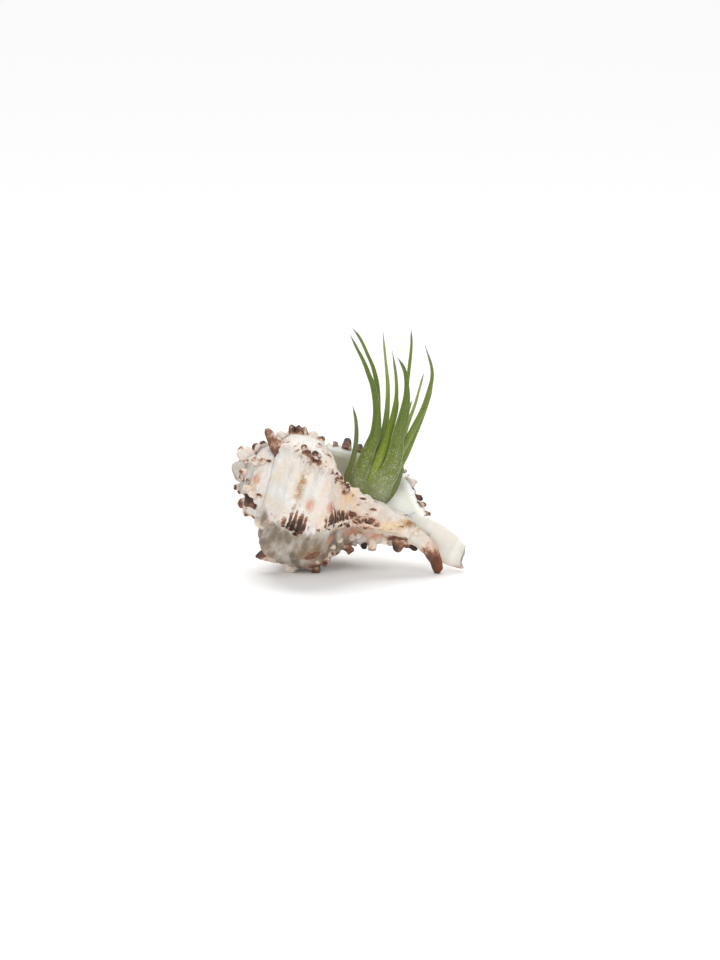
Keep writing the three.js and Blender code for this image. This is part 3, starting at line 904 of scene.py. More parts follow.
    def coat(self, vertex: bmesh.types.BMVert, growth: tuple[float, float, float], **masks: float) -> None:
        """Paints one point.

        Args:
            vertex: The point.
            growth: Its growth coordinates, in millimetres.
            **masks: Its masks by name.
        """
        vertex[self.layers["growth"]] = Vector(growth) * MM
        for name, value in masks.items():
            vertex[self.layers[name]] = value

    def stamped(self, added: Iterable[bmesh.types.BMesh]) -> bpy.types.Mesh:
        """Joins small meshes, each with its faces outwards.

        Args:
            added: The meshes, which are freed.

        Returns:
            One mesh of them all.
        """
        joined = bmesh.new()
        mesh = bpy.data.meshes.new("joined")
        for part in added:
            face_outwards(part)
            part.to_mesh(mesh)
            part.free()
            joined.from_mesh(mesh)
        joined.to_mesh(mesh)
        joined.free()
        return mesh

    # -- growth

    def growth(self, turns: Array) -> Array:
        """Size of the whorl at a number of turns back from the lip."""
        return self.expansion ** -np.asarray(turns, float)

    def section(self, turns: Array, row: Array) -> Array:
        """The outline of the shell in a plane through its axis.

        Args:
            turns: Turns back from the lip.
            row: Outline indices.

        Returns:
            Distances along the axis and radii, in the last dimension.
        """
        turns, row = np.broadcast_arrays(np.asarray(turns, float), np.asarray(row, float))
        g = self.growth(turns)
        neck = smoothstep(*self.neck_rows, row)
        flare = smoothstep(self.flare_turns, 0.0, turns)[..., None]
        grown = curve_at(self.plain_curve, row)
        grown = grown + flare * (curve_at(self.lip_curve, row) - grown)
        along = grown[..., 0] * g ** (1 + neck * (self.neck_growth[0] - 1))
        radius = grown[..., 1] * g ** (1 + neck * (self.neck_growth[1] - 1))
        seated = (row < 1) & (turns + 1 <= self.whorls + 1e-9)
        if seated.any():
            seat = self.section(turns[seated] + 1, np.full(seated.sum(), float(self.suture_row)))
            share = 1 - row[seated]
            along[seated] += share * (seat[..., 0] - self.outline[0][0] * g[seated])
            radius[seated] += share * (seat[..., 1] - self.outline[0][1] * g[seated])
        return np.stack([along, radius], axis=-1)

    def around_axis(self, along: Array, radius: Array, angle: Array) -> Array:
        """Points at distances along the axis, radii and angles round it.

        Args:
            along: Distances from the apex.
            radius: Distances from the axis.
            angle: Angles from the front.

        Returns:
            The points.
        """
        return (
            np.array(self.apex)
            + CENTRING
            + self.axis * np.asarray(along)[..., None]
            + self.front * (radius * np.cos(angle))[..., None]
            + self.upper * (radius * np.sin(angle))[..., None]
        )

    def skin(self, turns: Array, row: Array, lift: Array | float = 0.0) -> Array:
        """Points of the bare outer surface, moved away from the axis by a lift.

        Args:
            turns: Turns back from the lip.
            row: Outline indices.
            lift: Distance by which they are moved out.

        Returns:
            The points.
        """
        section = self.section(turns, row)
        angle = math.radians(self.lip_angle) + 2 * math.pi * np.asarray(turns, float)
        return self.around_axis(section[..., 0], section[..., 1] + lift, angle)

    def outward(self, turns: Array, row: Array) -> tuple[Array, Array, Array]:
        """Directions on the outer surface.

        Args:
            turns: Turns back from the lip.
            row: Outline indices.

        Returns:
            Unit vectors out of the surface, along the outline and back round the whorl.
        """
        low, high = np.maximum(row - 0.04, 0.0), np.minimum(row + 0.04, len(self.outline) - 1.0)
        along = unit(self.skin(turns, high) - self.skin(turns, low))
        back = unit(self.skin(turns + 0.002, row) - self.skin(turns - 0.002, row))
        out = unit(np.cross(along, back))
        section = self.section(turns, row)
        none = np.zeros_like(section[..., 0])
        middle = self.around_axis(section[..., 0], none, none)
        inwards = ((self.skin(turns, row) - middle) * out).sum(-1) < 0
        out[inwards] *= -1
        return out, along, back

    # -- relief

    def rib_profile(self, turns: Array, row: Array) -> Array:
        """How much a point is on a rib, from 0 to 1, steep towards the mouth and scalloped by the cords.

        Args:
            turns: Turns back from the lip.
            row: Outline indices.

        Returns:
            0 between the ribs and 1 on their crests.
        """
        steep, gentle = self.rib_widths
        juts = self.scallop * np.cos(2 * math.pi * self.arc(row) / self.cord_spacing)
        wander = 0.012 * np.sin(1.9 * row + 0.8)

        def one(offset: Array, wide: float) -> Array:
            """Profile of one rib."""
            return np.where(offset > 0, bump(offset, gentle * wide), bump(offset, steep * wide))

        high = 1 - smoothstep(0.3, 3.2, row)
        bends = zip(self.ribs, self.rib_bends)
        strayed = turns + juts + wander
        body = np.max([one(strayed - rib - bend * high, 1.0) for rib, bend in bends], axis=0)
        nearest = self.spire_rib_turns * np.round(turns / self.spire_rib_turns)
        profile = np.where(turns < 0.96, body, one(turns - nearest, 1.1))
        on_whorl = smoothstep(0.2, 1.6, row) * (1 - 0.7 * smoothstep(7, 10, row))
        on_whorl = np.where(turns > 1.0, np.maximum(on_whorl, smoothstep(0.1, 0.7, row)), on_whorl)
        covered = smoothstep(0.9, 1.05, turns) * smoothstep(1.6, 2.6, row)
        glazed = smoothstep(0.86, 1.0, turns) * smoothstep(2.2, 3.0, row)
        return profile * on_whorl * (1 - np.maximum(covered, glazed))

    def arc(self, row: Array) -> Array:
        """Length of the outline from the suture to a row, on the grown whorl.

        Args:
            row: Outline indices.

        Returns:
            Lengths in millimetres.
        """
        rows = np.linspace(0, len(self.outline) - 1, 400)
        points = curve_at(self.plain_curve, rows)
        lengths = np.concatenate([[0], np.cumsum(np.linalg.norm(np.diff(points, axis=0), axis=1))])
        return np.interp(row, rows, lengths)

    def relief(self, turns: Array, row: Array) -> Array:
        """Height of the ribs, cords, nodules and wear over the bare surface, in millimetres.

        Args:
            turns: Turns back from the lip.
            row: Outline indices.

        Returns:
            The heights.
        """
        g = self.growth(turns)
        arc = self.arc(row)
        rib = self.rib_profile(turns, row)
        radius = np.maximum(self.section(turns, row)[..., 1], 1.0)
        around = 2 * math.pi * (turns - self.plain_turns) * radius
        cord = 0.5 + 0.5 * np.cos(2 * math.pi * arc / self.cord_spacing)
        fine = 0.5 + 0.5 * np.cos(2 * math.pi * arc / (self.cord_spacing / 3))
        glazed = smoothstep(0.88, 0.99, turns) * smoothstep(2.4, 3.1, row)
        bare = smoothstep(0.1, 0.7, row) * (1 - glazed) * (1 - smoothstep(11, 12, row))
        space = self.skin(turns, row)
        # Lamellae of growth cross the cords, and beads stand where they meet on the neck.
        lamellae = np.sin(2 * math.pi * around / self.lamella_spacing + 1.4 * uneven(space, 9.0, 12))
        beads = np.sin(2 * math.pi * around / self.bead_spacing + 0.9 * uneven(space, 7.0, 13))
        beads = smoothstep(5.2, 6.8, row) * cord**2 * (0.5 + 0.5 * beads)
        height = self.rib_height * rib * (0.84 + 0.16 * uneven(space, 5.0, 6))
        height += (self.cord_height * cord**2 + self.fine_cord_height * fine) * (0.6 + 1.3 * rib)
        height += self.lamella_height * lamellae + self.bead_height * beads
        height += sum(depth * uneven(space, wavelength, seed) for depth, wavelength, seed in self.wear)
        spire = smoothstep(0.98, 1.1, turns)
        height += spire * (0.9 * cord**2 * rib + 0.5 * uneven(space, 3.4, 14))
        return g * (height * bare)

    # -- the mesh of the spiral

    def row_list(self, low: int, high: int) -> Array:
        """Outline indices that are evenly spaced along the outline.

        Args:
            low: The first.
            high: The last.

        Returns:
            The indices.
        """
        rows = [float(low)]
        for i in range(low, high):
            length = float(self.arc(np.array(i + 1.0)) - self.arc(np.array(float(i))))
            count = max(2, round(length / self.row_spacing))
            rows += [i + (k + 1) / count for k in range(count)]
        return np.array(rows)

    def inner_wall(self, turns: Array, row: Array) -> Array:
        """Points of the smooth wall behind the lip, which starts on the former whorl.

        Args:
            turns: Turns back from the lip.
            row: Outline indices.

        Returns:
            The points.
        """
        out, _, _ = self.outward(turns, row)
        thick = self.wall * (0.5 + 0.5 * smoothstep(-0.02, 0.08, turns))
        thick = thick * (1 - 0.75 * smoothstep(8.8, 11.5, row))
        wall = self.skin(turns, row) - out * thick[..., None]
        seat = self.skin(turns + 1, np.full_like(row, self.suture_row + 0.2))
        share = smoothstep(0.0, 0.9, row)[..., None]
        return seat + share * (wall - seat)

    def column_paths(self, last_turns: float) -> list[tuple[float, float]]:
        """The way of the sheet from deep inside the mouth over the rim of the lip and round the whorl.

        Args:
            last_turns: Where the sheet ends.

        Returns:
            Turns and the share of the way from the inner wall to the outer one, for each column.
        """
        inner = [k / self.inner_columns_per_whorl for k in range(1, self.inner_columns + 1)]
        path = [(turns, 0.0) for turns in reversed(inner)]
        path += [(0.0, k / (self.rim_columns - 1)) for k in range(self.rim_columns)]
        path += [(k / self.columns, 1.0) for k in range(1, round(last_turns * self.columns) + 1)]
        if last_turns <= 1.0:
            path += [(1.0 + turns, 1.0) for turns in inner]
        return path

    def sheet(self, bm: bmesh.types.BMesh, rows: Array, last_turns: float, top: bool) -> None:
        """Adds a sheet of the spiral: a flat grid bent round the axis.

        Args:
            bm: The shell's mesh.
            rows: Outline indices of its lines.
            last_turns: Where it ends.
            top: Whether it is the sheet from the suture to the next suture.
        """
        columns = self.column_paths(last_turns)
        nx, ny = len(columns) - 1, len(rows) - 1
        grid = bmesh.ops.create_grid(bm, x_segments=nx, y_segments=ny, size=1.0)["verts"]
        column = np.array([round((v.co.x + 1) / 2 * nx) for v in grid])
        line = np.array([round((v.co.y + 1) / 2 * ny) for v in grid])
        turns = np.array([columns[k][0] for k in column])
        share = np.array([columns[k][1] for k in column])
        row = rows[line]
        buried = (not top) & (turns > 1.0) & (row <= self.suture_row)
        row = np.where(buried, self.suture_row + 0.2, row)
        out, _, back = self.outward(turns, row)
        bare = self.skin(turns, row)
        on_suture = top & (turns >= 1) & (np.abs(row - self.suture_row) < 1e-9)
        joint = (row <= 0) | on_suture
        outer = np.where(joint[:, None], bare, bare + out * self.relief(turns, row)[:, None])
        seam = (row <= 0) & (turns <= self.whorls - 1 + 1e-9)
        older = self.skin(turns + 1, np.full_like(row, self.suture_row))
        outer = np.where(seam[:, None], older, outer)
        inner = self.inner_wall(turns, row)
        bulge = self.rim_bulge * np.sin(math.pi * share)
        place = inner + share[:, None] * (outer - inner) - back * bulge[:, None]
        paint = self.paint(turns, row, share)
        for i, vertex in enumerate(grid):
            vertex.co = Vector(place[i])
            for name, layer in self.layers.items():
                vertex[layer] = paint[name][i]

    # -- colour

    def paint(self, turns: Array, row: Array, share: Array) -> dict[str, Any]:
        """Colour masks of the spiral.

        Args:
            turns: Turns back from the lip.
            row: Outline indices.
            share: 0 on the inner wall and 1 outside.

        Returns:
            One list of values for each painted layer.
        """
        g = self.growth(turns)
        radius = np.maximum(self.section(turns, row)[:, 1], 1.0)
        arc = self.arc(row) * g
        around = 2 * math.pi * (turns - self.plain_turns) * radius
        space = self.skin(turns, row)
        rib = self.rib_profile(turns, row)
        outside = smoothstep(0.55, 0.95, share)
        glaze = smoothstep(0.9, 0.99, turns) * smoothstep(2.6, 3.2, row) * (turns < 1.7)
        masks = {name: np.zeros_like(turns) for name in LAYERS}
        for mark in MARKS:
            mark_turns, mark_row = np.array(mark.turns), np.array(mark.row)
            across = (arc - self.arc(mark_row) * self.growth(mark_turns)) / mark.along_mm
            mark_radius = float(self.section(mark_turns, mark_row)[1])
            along = 2 * math.pi * (turns - mark.turns) * mark_radius / mark.round_mm
            near = np.exp(-((across**2 + along**2) ** 1.3))
            masks[mark.tint.value] = np.maximum(masks[mark.tint.value], mark.strength * near)
        spire = smoothstep(0.98, 1.08, turns)
        knobs = rib * (1 + uneven(space, 2.4, 7))
        cream = 0.2 + 0.55 * smoothstep(3.4, 6.5, row) + 0.25 * uneven(space, 8.0, 8)
        # The neck has an ochre crest by the mouth and a rosy flank below it, and the side that the shell
        # lies on is darkened from the rib over the belly to the lip, partly real grime and partly painted
        # shade where the belly faces the floor.
        crest = bump(turns - 0.82, 0.07) * window(row, 4.2, 5.4, 9, 10)
        pink = bump(turns - 0.66, 0.08) * window(row, 3.8, 4.8, 7.5, 9.5)
        low = smoothstep(0.54, 0.5, turns) * (0.45 + 0.55 * smoothstep(0.2, 0.36, turns))
        low = low * smoothstep(0.2, 1.0, row) * (1 - 0.7 * smoothstep(6.0, 8.0, row))
        # Painted shade on the belly, with real grime on the spire's tip and a trace over the spire.
        shade_and_grime = 1.15 * low + 0.05 * spire + 0.66 * smoothstep(1.65, 2.1, turns)
        washes = (
            (Tint.HORN, knobs * (0.13 * (1 - spire) + 0.2 * spire)),
            (Tint.CREAM, cream * (1 - 0.6 * spire)),
            (Tint.CREAM, 0.7 * low),
            (Tint.OCHRE, 0.32 * crest * (0.6 + 0.6 * uneven(space, 3.2, 9))),
            (Tint.OCHRE, 0.24 * low * smoothstep(0.2, 1.0, uneven(space, 6.5, 16))),
            (Tint.BLUSH, 0.22 * pink + 0.12 * rib + 0.05 * spire * (1 - rib)),
            (Tint.GRIME_AND_SHADE, shade_and_grime * (0.95 + 0.15 * uneven(space, 9.0, 15))),
        )
        for tint, strength in washes:
            masks[tint.value] = np.maximum(masks[tint.value], strength)
        masks["bars"] = self.bar_mask(turns, row)
        # Specks lie along the mouth's edge and thinly over the neck.
        edge = bump(turns - 0.8, 0.085) * window(row, 4.6, 5.6, 9.6, 10.4)
        neck = window(turns, 0.5, 0.56, 0.76, 0.84) * smoothstep(6.6, 7.4, row)
        masks["specks"] = 0.66 * edge + 0.3 * neck
        masks["blots"] = window(turns, 0.44, 0.54, 0.74, 0.82) * window(row, 5.8, 6.8, 9.3, 10.2)
        result = {name: np.clip(mask, 0, 1) * outside * (1 - glaze) for name, mask in masks.items()}
        result["porcelain"] = np.clip(np.maximum(1 - outside, glaze), 0, 1)
        result["growth"] = np.stack([arc, around, turns], axis=-1) * MM
        return result

    def bar_mask(self, turns: Array, row: Array) -> Array:
        """Where dark bars cross the rib over the belly, strong at its edge and fading away from the mouth.

        Args:
            turns: Turns back from the lip.
            row: Outline indices.

        Returns:
            The mask, from 0 to 1.
        """
        edge = 0.531 + 0.012 * (row - 3.0) * (row < 6) + 0.036 * (row >= 6)
        up = (turns - edge) / 0.037
        length = np.where(up >= 0, np.exp(-np.clip(up, 0, 9) ** 1.6), np.exp(-((up / 0.16) ** 2)))
        clusters = [strength * bump(row - middle, wide) for middle, wide, strength in self.bar_clusters]
        return np.clip(1.35 * np.max(clusters, axis=0), 0, 1) * length

    # -- spines

    def spine(self, spine: Spine, seed: int) -> bmesh.types.BMesh:
        """Makes one hollow spine, a folded blade that is open towards the mouth.

        Args:
            spine: Its place and size.
            seed: Draws its unevenness.

        Returns:
            Its mesh.
        """
        bm = self.new_mesh()
        draw = np.random.default_rng(seed)
        turns, row = np.array([spine.turns]), np.array([spine.row])
        out, along, back = (v[0] for v in self.outward(turns, row))
        foot = self.skin(turns, row)[0] + out * float(self.relief(turns, row)[0])
        direction = unit(out + back * spine.sweep + along * spine.lean)
        side = unit(np.cross(direction, back))
        rear = unit(np.cross(side, direction))
        rear = rear if rear @ back > 0 else -rear
        profile = np.array(spine.form.value, float)
        sides, rings = self.spine_mesh if spine.length > self.knob_length else self.knob_mesh
        wobble = draw.uniform(-0.1, 0.1, size=(rings, sides))
        flat = draw.uniform(0.62, 0.95)
        lobes, phase = int(draw.integers(2, 4)), draw.uniform(0, 6.3)

        def place(share: float, turn: Array) -> Array:
            """Points of one ring.

            Args:
                share: Share of the length.
                turn: Angles round the ring.

            Returns:
                Their places.
            """
            height, width = curve_at(profile, np.array(share * (len(profile) - 1)))
            fold = self.spine_fold * np.maximum(0.0, -np.sin(turn)) ** 2 * min(1.0, 0.3 + share)
            shape = spine.radius * width * (1 + wobble[round(share * (rings - 1))])
            bend = rear * spine.curl * spine.length * max(0.0, height) ** 2
            middle = foot + direction * height * spine.length + bend
            deep = shape * flat * (1 - fold)
            wave = self.spine_waves * spine.radius * width * share * np.sin(lobes * turn + phase)
            reach = np.outer(shape * np.cos(turn), side) + np.outer(deep * np.sin(turn), rear)
            return middle + reach + np.outer(wave, direction)

        verts = grow_tube(bm, sides, rings, place)
        browns = (spine.root_horn, spine.horn, spine.crown)
        for i, vertex in enumerate(verts):
            share = (i // sides) / (rings - 1)
            # Painted shade: each spine's brown is stronger on one side and weaker on the other, as if lit
            # from one side.
            lit = 0.86 + 0.24 * math.cos(2 * math.pi * (i % sides) / sides + phase)
            brown = lit * float(np.interp(share, (0.15, 0.6, 0.92), browns))
            growth = (i % sides * 0.6, share * spine.length, 9.0)
            self.coat(vertex, growth, horn=brown, cream=0.5, blush=0.3 * (1 - share))
        return bm

    # -- canal and claw

    def canal(self) -> bmesh.types.BMesh:
        """Makes the broad open canal, a bent spout with thick smooth edges.

        Returns:
            Its mesh.
        """
        bm = self.new_mesh()
        path = np.array(self.canal_path, float)
        widths = np.array(self.canal_widths, float)[:, None]
        across = np.array(self.canal_across)
        sides, rings = self.canal_mesh

        def crowded(share: float) -> float:
            """Share of the length, with the rings close together at the end."""
            return 1 - (1 - share) ** self.canal_crowding

        def place(share: float, turn: Array) -> Array:
            """Points of one ring: the floor on one half of the turn and the outside on the other.

            Args:
                share: Share of the length.
                turn: Angles round the ring.

            Returns:
                Their places.
            """
            share = crowded(share)
            at = share * (len(path) - 1)
            ahead = heading(path, at, 0.05)
            flat = unit(across - ahead * (ahead @ across))
            open_side = unit(np.cross(ahead, flat))
            open_side = open_side if open_side[1] < 0 else -open_side
            width = float(curve_at(widths, np.array(at))[0]) * (1 + 0.02 * math.sin(17 * share))
            u = np.cos(turn)
            half = self.canal_thickness / 2 * np.abs(np.sin(turn)) ** 0.55 * np.sign(np.sin(turn))
            half = half * (1 - 0.4 * share) * math.sqrt(1.04 - eased(0.97, 1.0, share))
            half = half * (0.3 + 0.7 * eased(0.0, 0.42, share))
            level, tilt, curve = self.canal_root
            sunk = (level + tilt * u + curve * u * u) * max(0.0, 1 - share / self.canal_rooted) ** 1.4
            swell = self.canal_swell * float(window(share, 0.08, 0.3, 0.5, 0.88)) * smoothstep(-0.7, 0.3, u)
            lift = self.canal_hollow * u * u - self.canal_thickness / 2 + half - sunk + swell
            lobe = 0.75 * smoothstep(-0.2, -0.75, u) - 0.45 * smoothstep(-0.75, -1.0, u)
            lobe = lobe - 0.12 * bump(u, 0.35) - 0.6 * smoothstep(0.3, 1.0, u)
            jut = self.canal_lobe * lobe * eased(0.72, 1.0, share)
            middle = centripetal(path, at) + CENTRING + np.outer(u * width / 2, flat)
            return middle + np.outer(lift, open_side) + np.outer(jut, ahead)

        for i, vertex in enumerate(grow_tube(bm, sides, rings, place)):
            share = crowded((i // sides) / (rings - 1))
            turn = 2 * math.pi * (i % sides) / sides
            edge = eased(0.62, 1.0, share) * max(0.0, -math.cos(turn)) ** 3
            floor = eased(-0.25, 0.15, math.sin(turn))
            self.coat(
                vertex,
                (6 * math.cos(turn) * (1 - floor), share * self.canal_length, 0),
                porcelain=0.6 * floor * (1 - edge),
                blush=0.8 * edge,
                cream=0.1 + 0.6 * (1 - floor),
                grime=0.4 + 0.5 * share,
            )
        return bm

    def claw(self) -> bmesh.types.BMesh:
        """Makes the claw, the canal of a former lip, which the shell stands on.

        Returns:
            Its mesh.
        """
        bm = self.new_mesh()
        path = np.array(self.claw_path, float)
        radii = np.array(self.claw_radii, float)
        across = np.array(self.claw_across)
        sides, rings = self.claw_mesh

        def place(share: float, turn: Array) -> Array:
            """Points of one ring, with a shallow groove along its front.

            Args:
                share: Share of the length.
                turn: Angles round the ring.

            Returns:
                Their places.
            """
            at = share * (len(path) - 1)
            ahead = heading(path, at, 0.05)
            flat = unit(across - ahead * (across @ ahead))
            thick = np.cross(ahead, flat)
            wide, deep = curve_at(radii, np.array(at))
            scale = (1 - 0.2 * bump(turn - 1.2, 0.35)) * (1 + 0.06 * np.cos(6 * turn + 2 * share))
            scale = scale * (1 + 0.04 * math.sin(31 * share))
            reach = np.outer(wide * np.cos(turn), flat) + np.outer(deep * np.sin(turn), thick)
            slant = np.outer(np.cos(turn) * wide * 0.7 * share**5, -ahead)
            return centripetal(path, at) + CENTRING + reach * scale[:, None] + slant

        for i, vertex in enumerate(grow_tube(bm, sides, rings, place)):
            share = (i // sides) / (rings - 1)
            under = 0.5 - 0.5 * math.cos(2 * math.pi * (i % sides) / sides)
            self.coat(
                vertex,
                (i % sides * 0.8, share * self.claw_length, 5),
                horn=0.72 * eased(0.36, 1.0, share + 0.14 * under),
                ochre=0.8 * float(bump(share - 0.2, 0.13)) * (1 - under),
                blush=0.75 * eased(0.3, 0.62, share),
                amber=0.9 * eased(0.55, 0.9, share) * (1 - 0.7 * under),
                cream=0.7,
            )
        return bm

    # -- all of it

    def build(self) -> bpy.types.Object:
        """Makes the whole shell.

        Returns:
            The piece.
        """
        parts = [self.spine(spine, 100 + seed) for seed, spine in enumerate(SPINES)]
        standing = self.stamped(parts + [self.canal(), self.claw()])
        bm = self.new_mesh()
        self.sheet(bm, self.row_list(0, self.suture_row), self.whorls, True)
        self.sheet(bm, self.row_list(self.suture_row, len(self.outline) - 1), 1.0, False)
        bmesh.ops.remove_doubles(bm, verts=bm.verts, dist=1e-3)
        self.close_apex(bm)
        bmesh.ops.holes_fill(bm, edges=open_edges(bm), sides=0)
        face_outwards(bm)
        bm.from_mesh(standing)
        bpy.data.meshes.remove(standing)
        return finish_piece("shell_of_murex", bm, self.finish.build(), "murex_shell")

    def close_apex(self, bm: bmesh.types.BMesh) -> None:
        """Draws the open start of the spire together into a worn dome.

        Args:
            bm: The shell's mesh.
        """
        tip = self.around_axis(np.array(0.6), np.array(0.0), np.array(0.0))
        loop = [
            edge
            for edge in open_edges(bm)
            if max(np.linalg.norm(np.array(v.co) - tip) for v in edge.verts) < self.apex_reach
        ]
        for share, rise in self.dome_steps:
            made = bmesh.ops.extrude_edge_only(bm, edges=loop)["geom"]
            fresh = [v for v in made if isinstance(v, bmesh.types.BMVert)]
            edges = [e for e in made if isinstance(e, bmesh.types.BMEdge)]
            loop = [e for e in edges if all(v in fresh for v in e.verts)]
            for vertex in fresh:
                place = np.array(vertex.co)
                vertex.co = Vector(place + share * (tip - place) - self.axis * rise)
                vertex[self.layers["cream"]] = 0.5
        bmesh.ops.holes_fill(bm, edges=loop, sides=0)


# Stains of the outer surface, each where the worn shell has it, and one broad patch of painted shade over
# the top of the whorl.
MARKS = (
    Mark(Tint.HORN, 0.732, 3.1, 2.2, 2.6, 0.4),
    Mark(Tint.HORN, 0.718, 3.6, 2.4, 2.4, 0.44),
    Mark(Tint.HORN, 0.705, 5.5, 2.0, 2.2, 0.4),
    Mark(Tint.HORN, 0.7, 6.5, 1.8, 2.2, 0.42),
    Mark(Tint.HORN, 0.86, 2.5, 2.2, 3.2, 0.6),
    Mark(Tint.HORN, 0.865, 4.0, 1.4, 1.3, 0.6),
    Mark(Tint.HORN, 0.44, 4.7, 4.2, 4.4, 0.46),
    Mark(Tint.HORN, 0.49, 9.1, 1.8, 2.6, 0.6),
    Mark(Tint.HORN, 1.47, 1.6, 2.4, 2.6, 0.7),
    Mark(Tint.HORN, 0.385, 4.9, 2.4, 3.4, 0.62),
    Mark(Tint.HORN, 0.38, 6.6, 1.4, 2.4, 0.5),
    Mark(Tint.HORN, 0.36, 10.6, 1.8, 2.2, 0.7),
    Mark(Tint.OCHRE, 0.64, 3.1, 7.5, 1.8, 0.95),
    Mark(Tint.OCHRE, 0.45, 4.6, 6.0, 5.0, 0.8),
    Mark(Tint.OCHRE, 0.5, 3.6, 6.0, 1.6, 0.5),
    Mark(Tint.OCHRE, 0.7, 10.0, 2.0, 2.2, 1.0),
    Mark(Tint.AMBER, 0.7, 10.05, 1.5, 1.9, 0.7),
    Mark(Tint.OCHRE, 0.6, 9.0, 2.4, 3.0, 0.5),
    Mark(Tint.OCHRE, 0.66, 8.6, 3.0, 6.0, 0.35),
    Mark(Tint.BLUSH, 0.6, 3.9, 2.4, 1.7, 1.2),
    Mark(Tint.BLUSH, 0.61, 5.3, 2.4, 2.6, 1.1),
    Mark(Tint.BLUSH, 0.86, 3.6, 3.0, 3.4, 0.6),
    Mark(Tint.BLUSH, 1.6, 1.3, 2.0, 2.2, 0.9),
    Mark(Tint.BLUSH, 0.48, 5.7, 2.2, 2.6, 0.9),
    Mark(Tint.BLUSH, 0.47, 6.9, 2.2, 2.6, 1.0),
    Mark(Tint.BLUSH, 0.45, 7.8, 2.2, 2.2, 0.9),
    Mark(Tint.CREAM, 1.55, 1.5, 12.0, 3.0, 0.9),
    # Painted shade: a broad, faint darkening over the top of the whorl, where the overhead light falls
    # strongest.
    Mark(Tint.GRIME_AND_SHADE, 0.86, 2.0, 9.0, 12.0, 0.28),
    Mark(Tint.GRIME_AND_SHADE, 0.68, 3.9, 7.0, 1.4, 0.35),
    Mark(Tint.GRIME_AND_SHADE, 0.66, 2.2, 8.0, 1.2, 0.3),
)


@dataclass(frozen=True)
class Cluster:
    """A group of frills round one spot."""

    turns: float
    row: float
    turn_spread: float
    row_spread: float
    count: int
    length: float
    radius: float
    form: Form = Form.CUP
    horn: float = 0.7
    crown: float = 0.1

    def spines(self, seed: int) -> list[Spine]:
        """Scatters the frills.

        Args:
            seed: Draws their places, sizes and leans.

        Returns:
            The frills.
        """
        draw = np.random.default_rng(seed)
        made = []
        for k in range(self.count):
            angle = 2.4 * k + draw.uniform(-0.3, 0.3)
            reach = math.sqrt((k + 0.3) / self.count)
            turns = self.turns + self.turn_spread * reach * math.sin(angle)
            row = self.row + self.row_spread * reach * math.cos(angle)
            size = draw.uniform(0.62, 1.18)
            sweep, lean = draw.uniform(-0.5, 0.6), draw.uniform(-0.5, 0.5)
            form = self.form if k % 3 else Form.KNOB
            horn = self.horn + draw.uniform(-0.12, 0.1)
            length, radius = self.length * size, self.radius * size
            made.append(Spine(turns, row, length, radius, form, sweep, lean, 0.25, horn, self.crown))
        return made


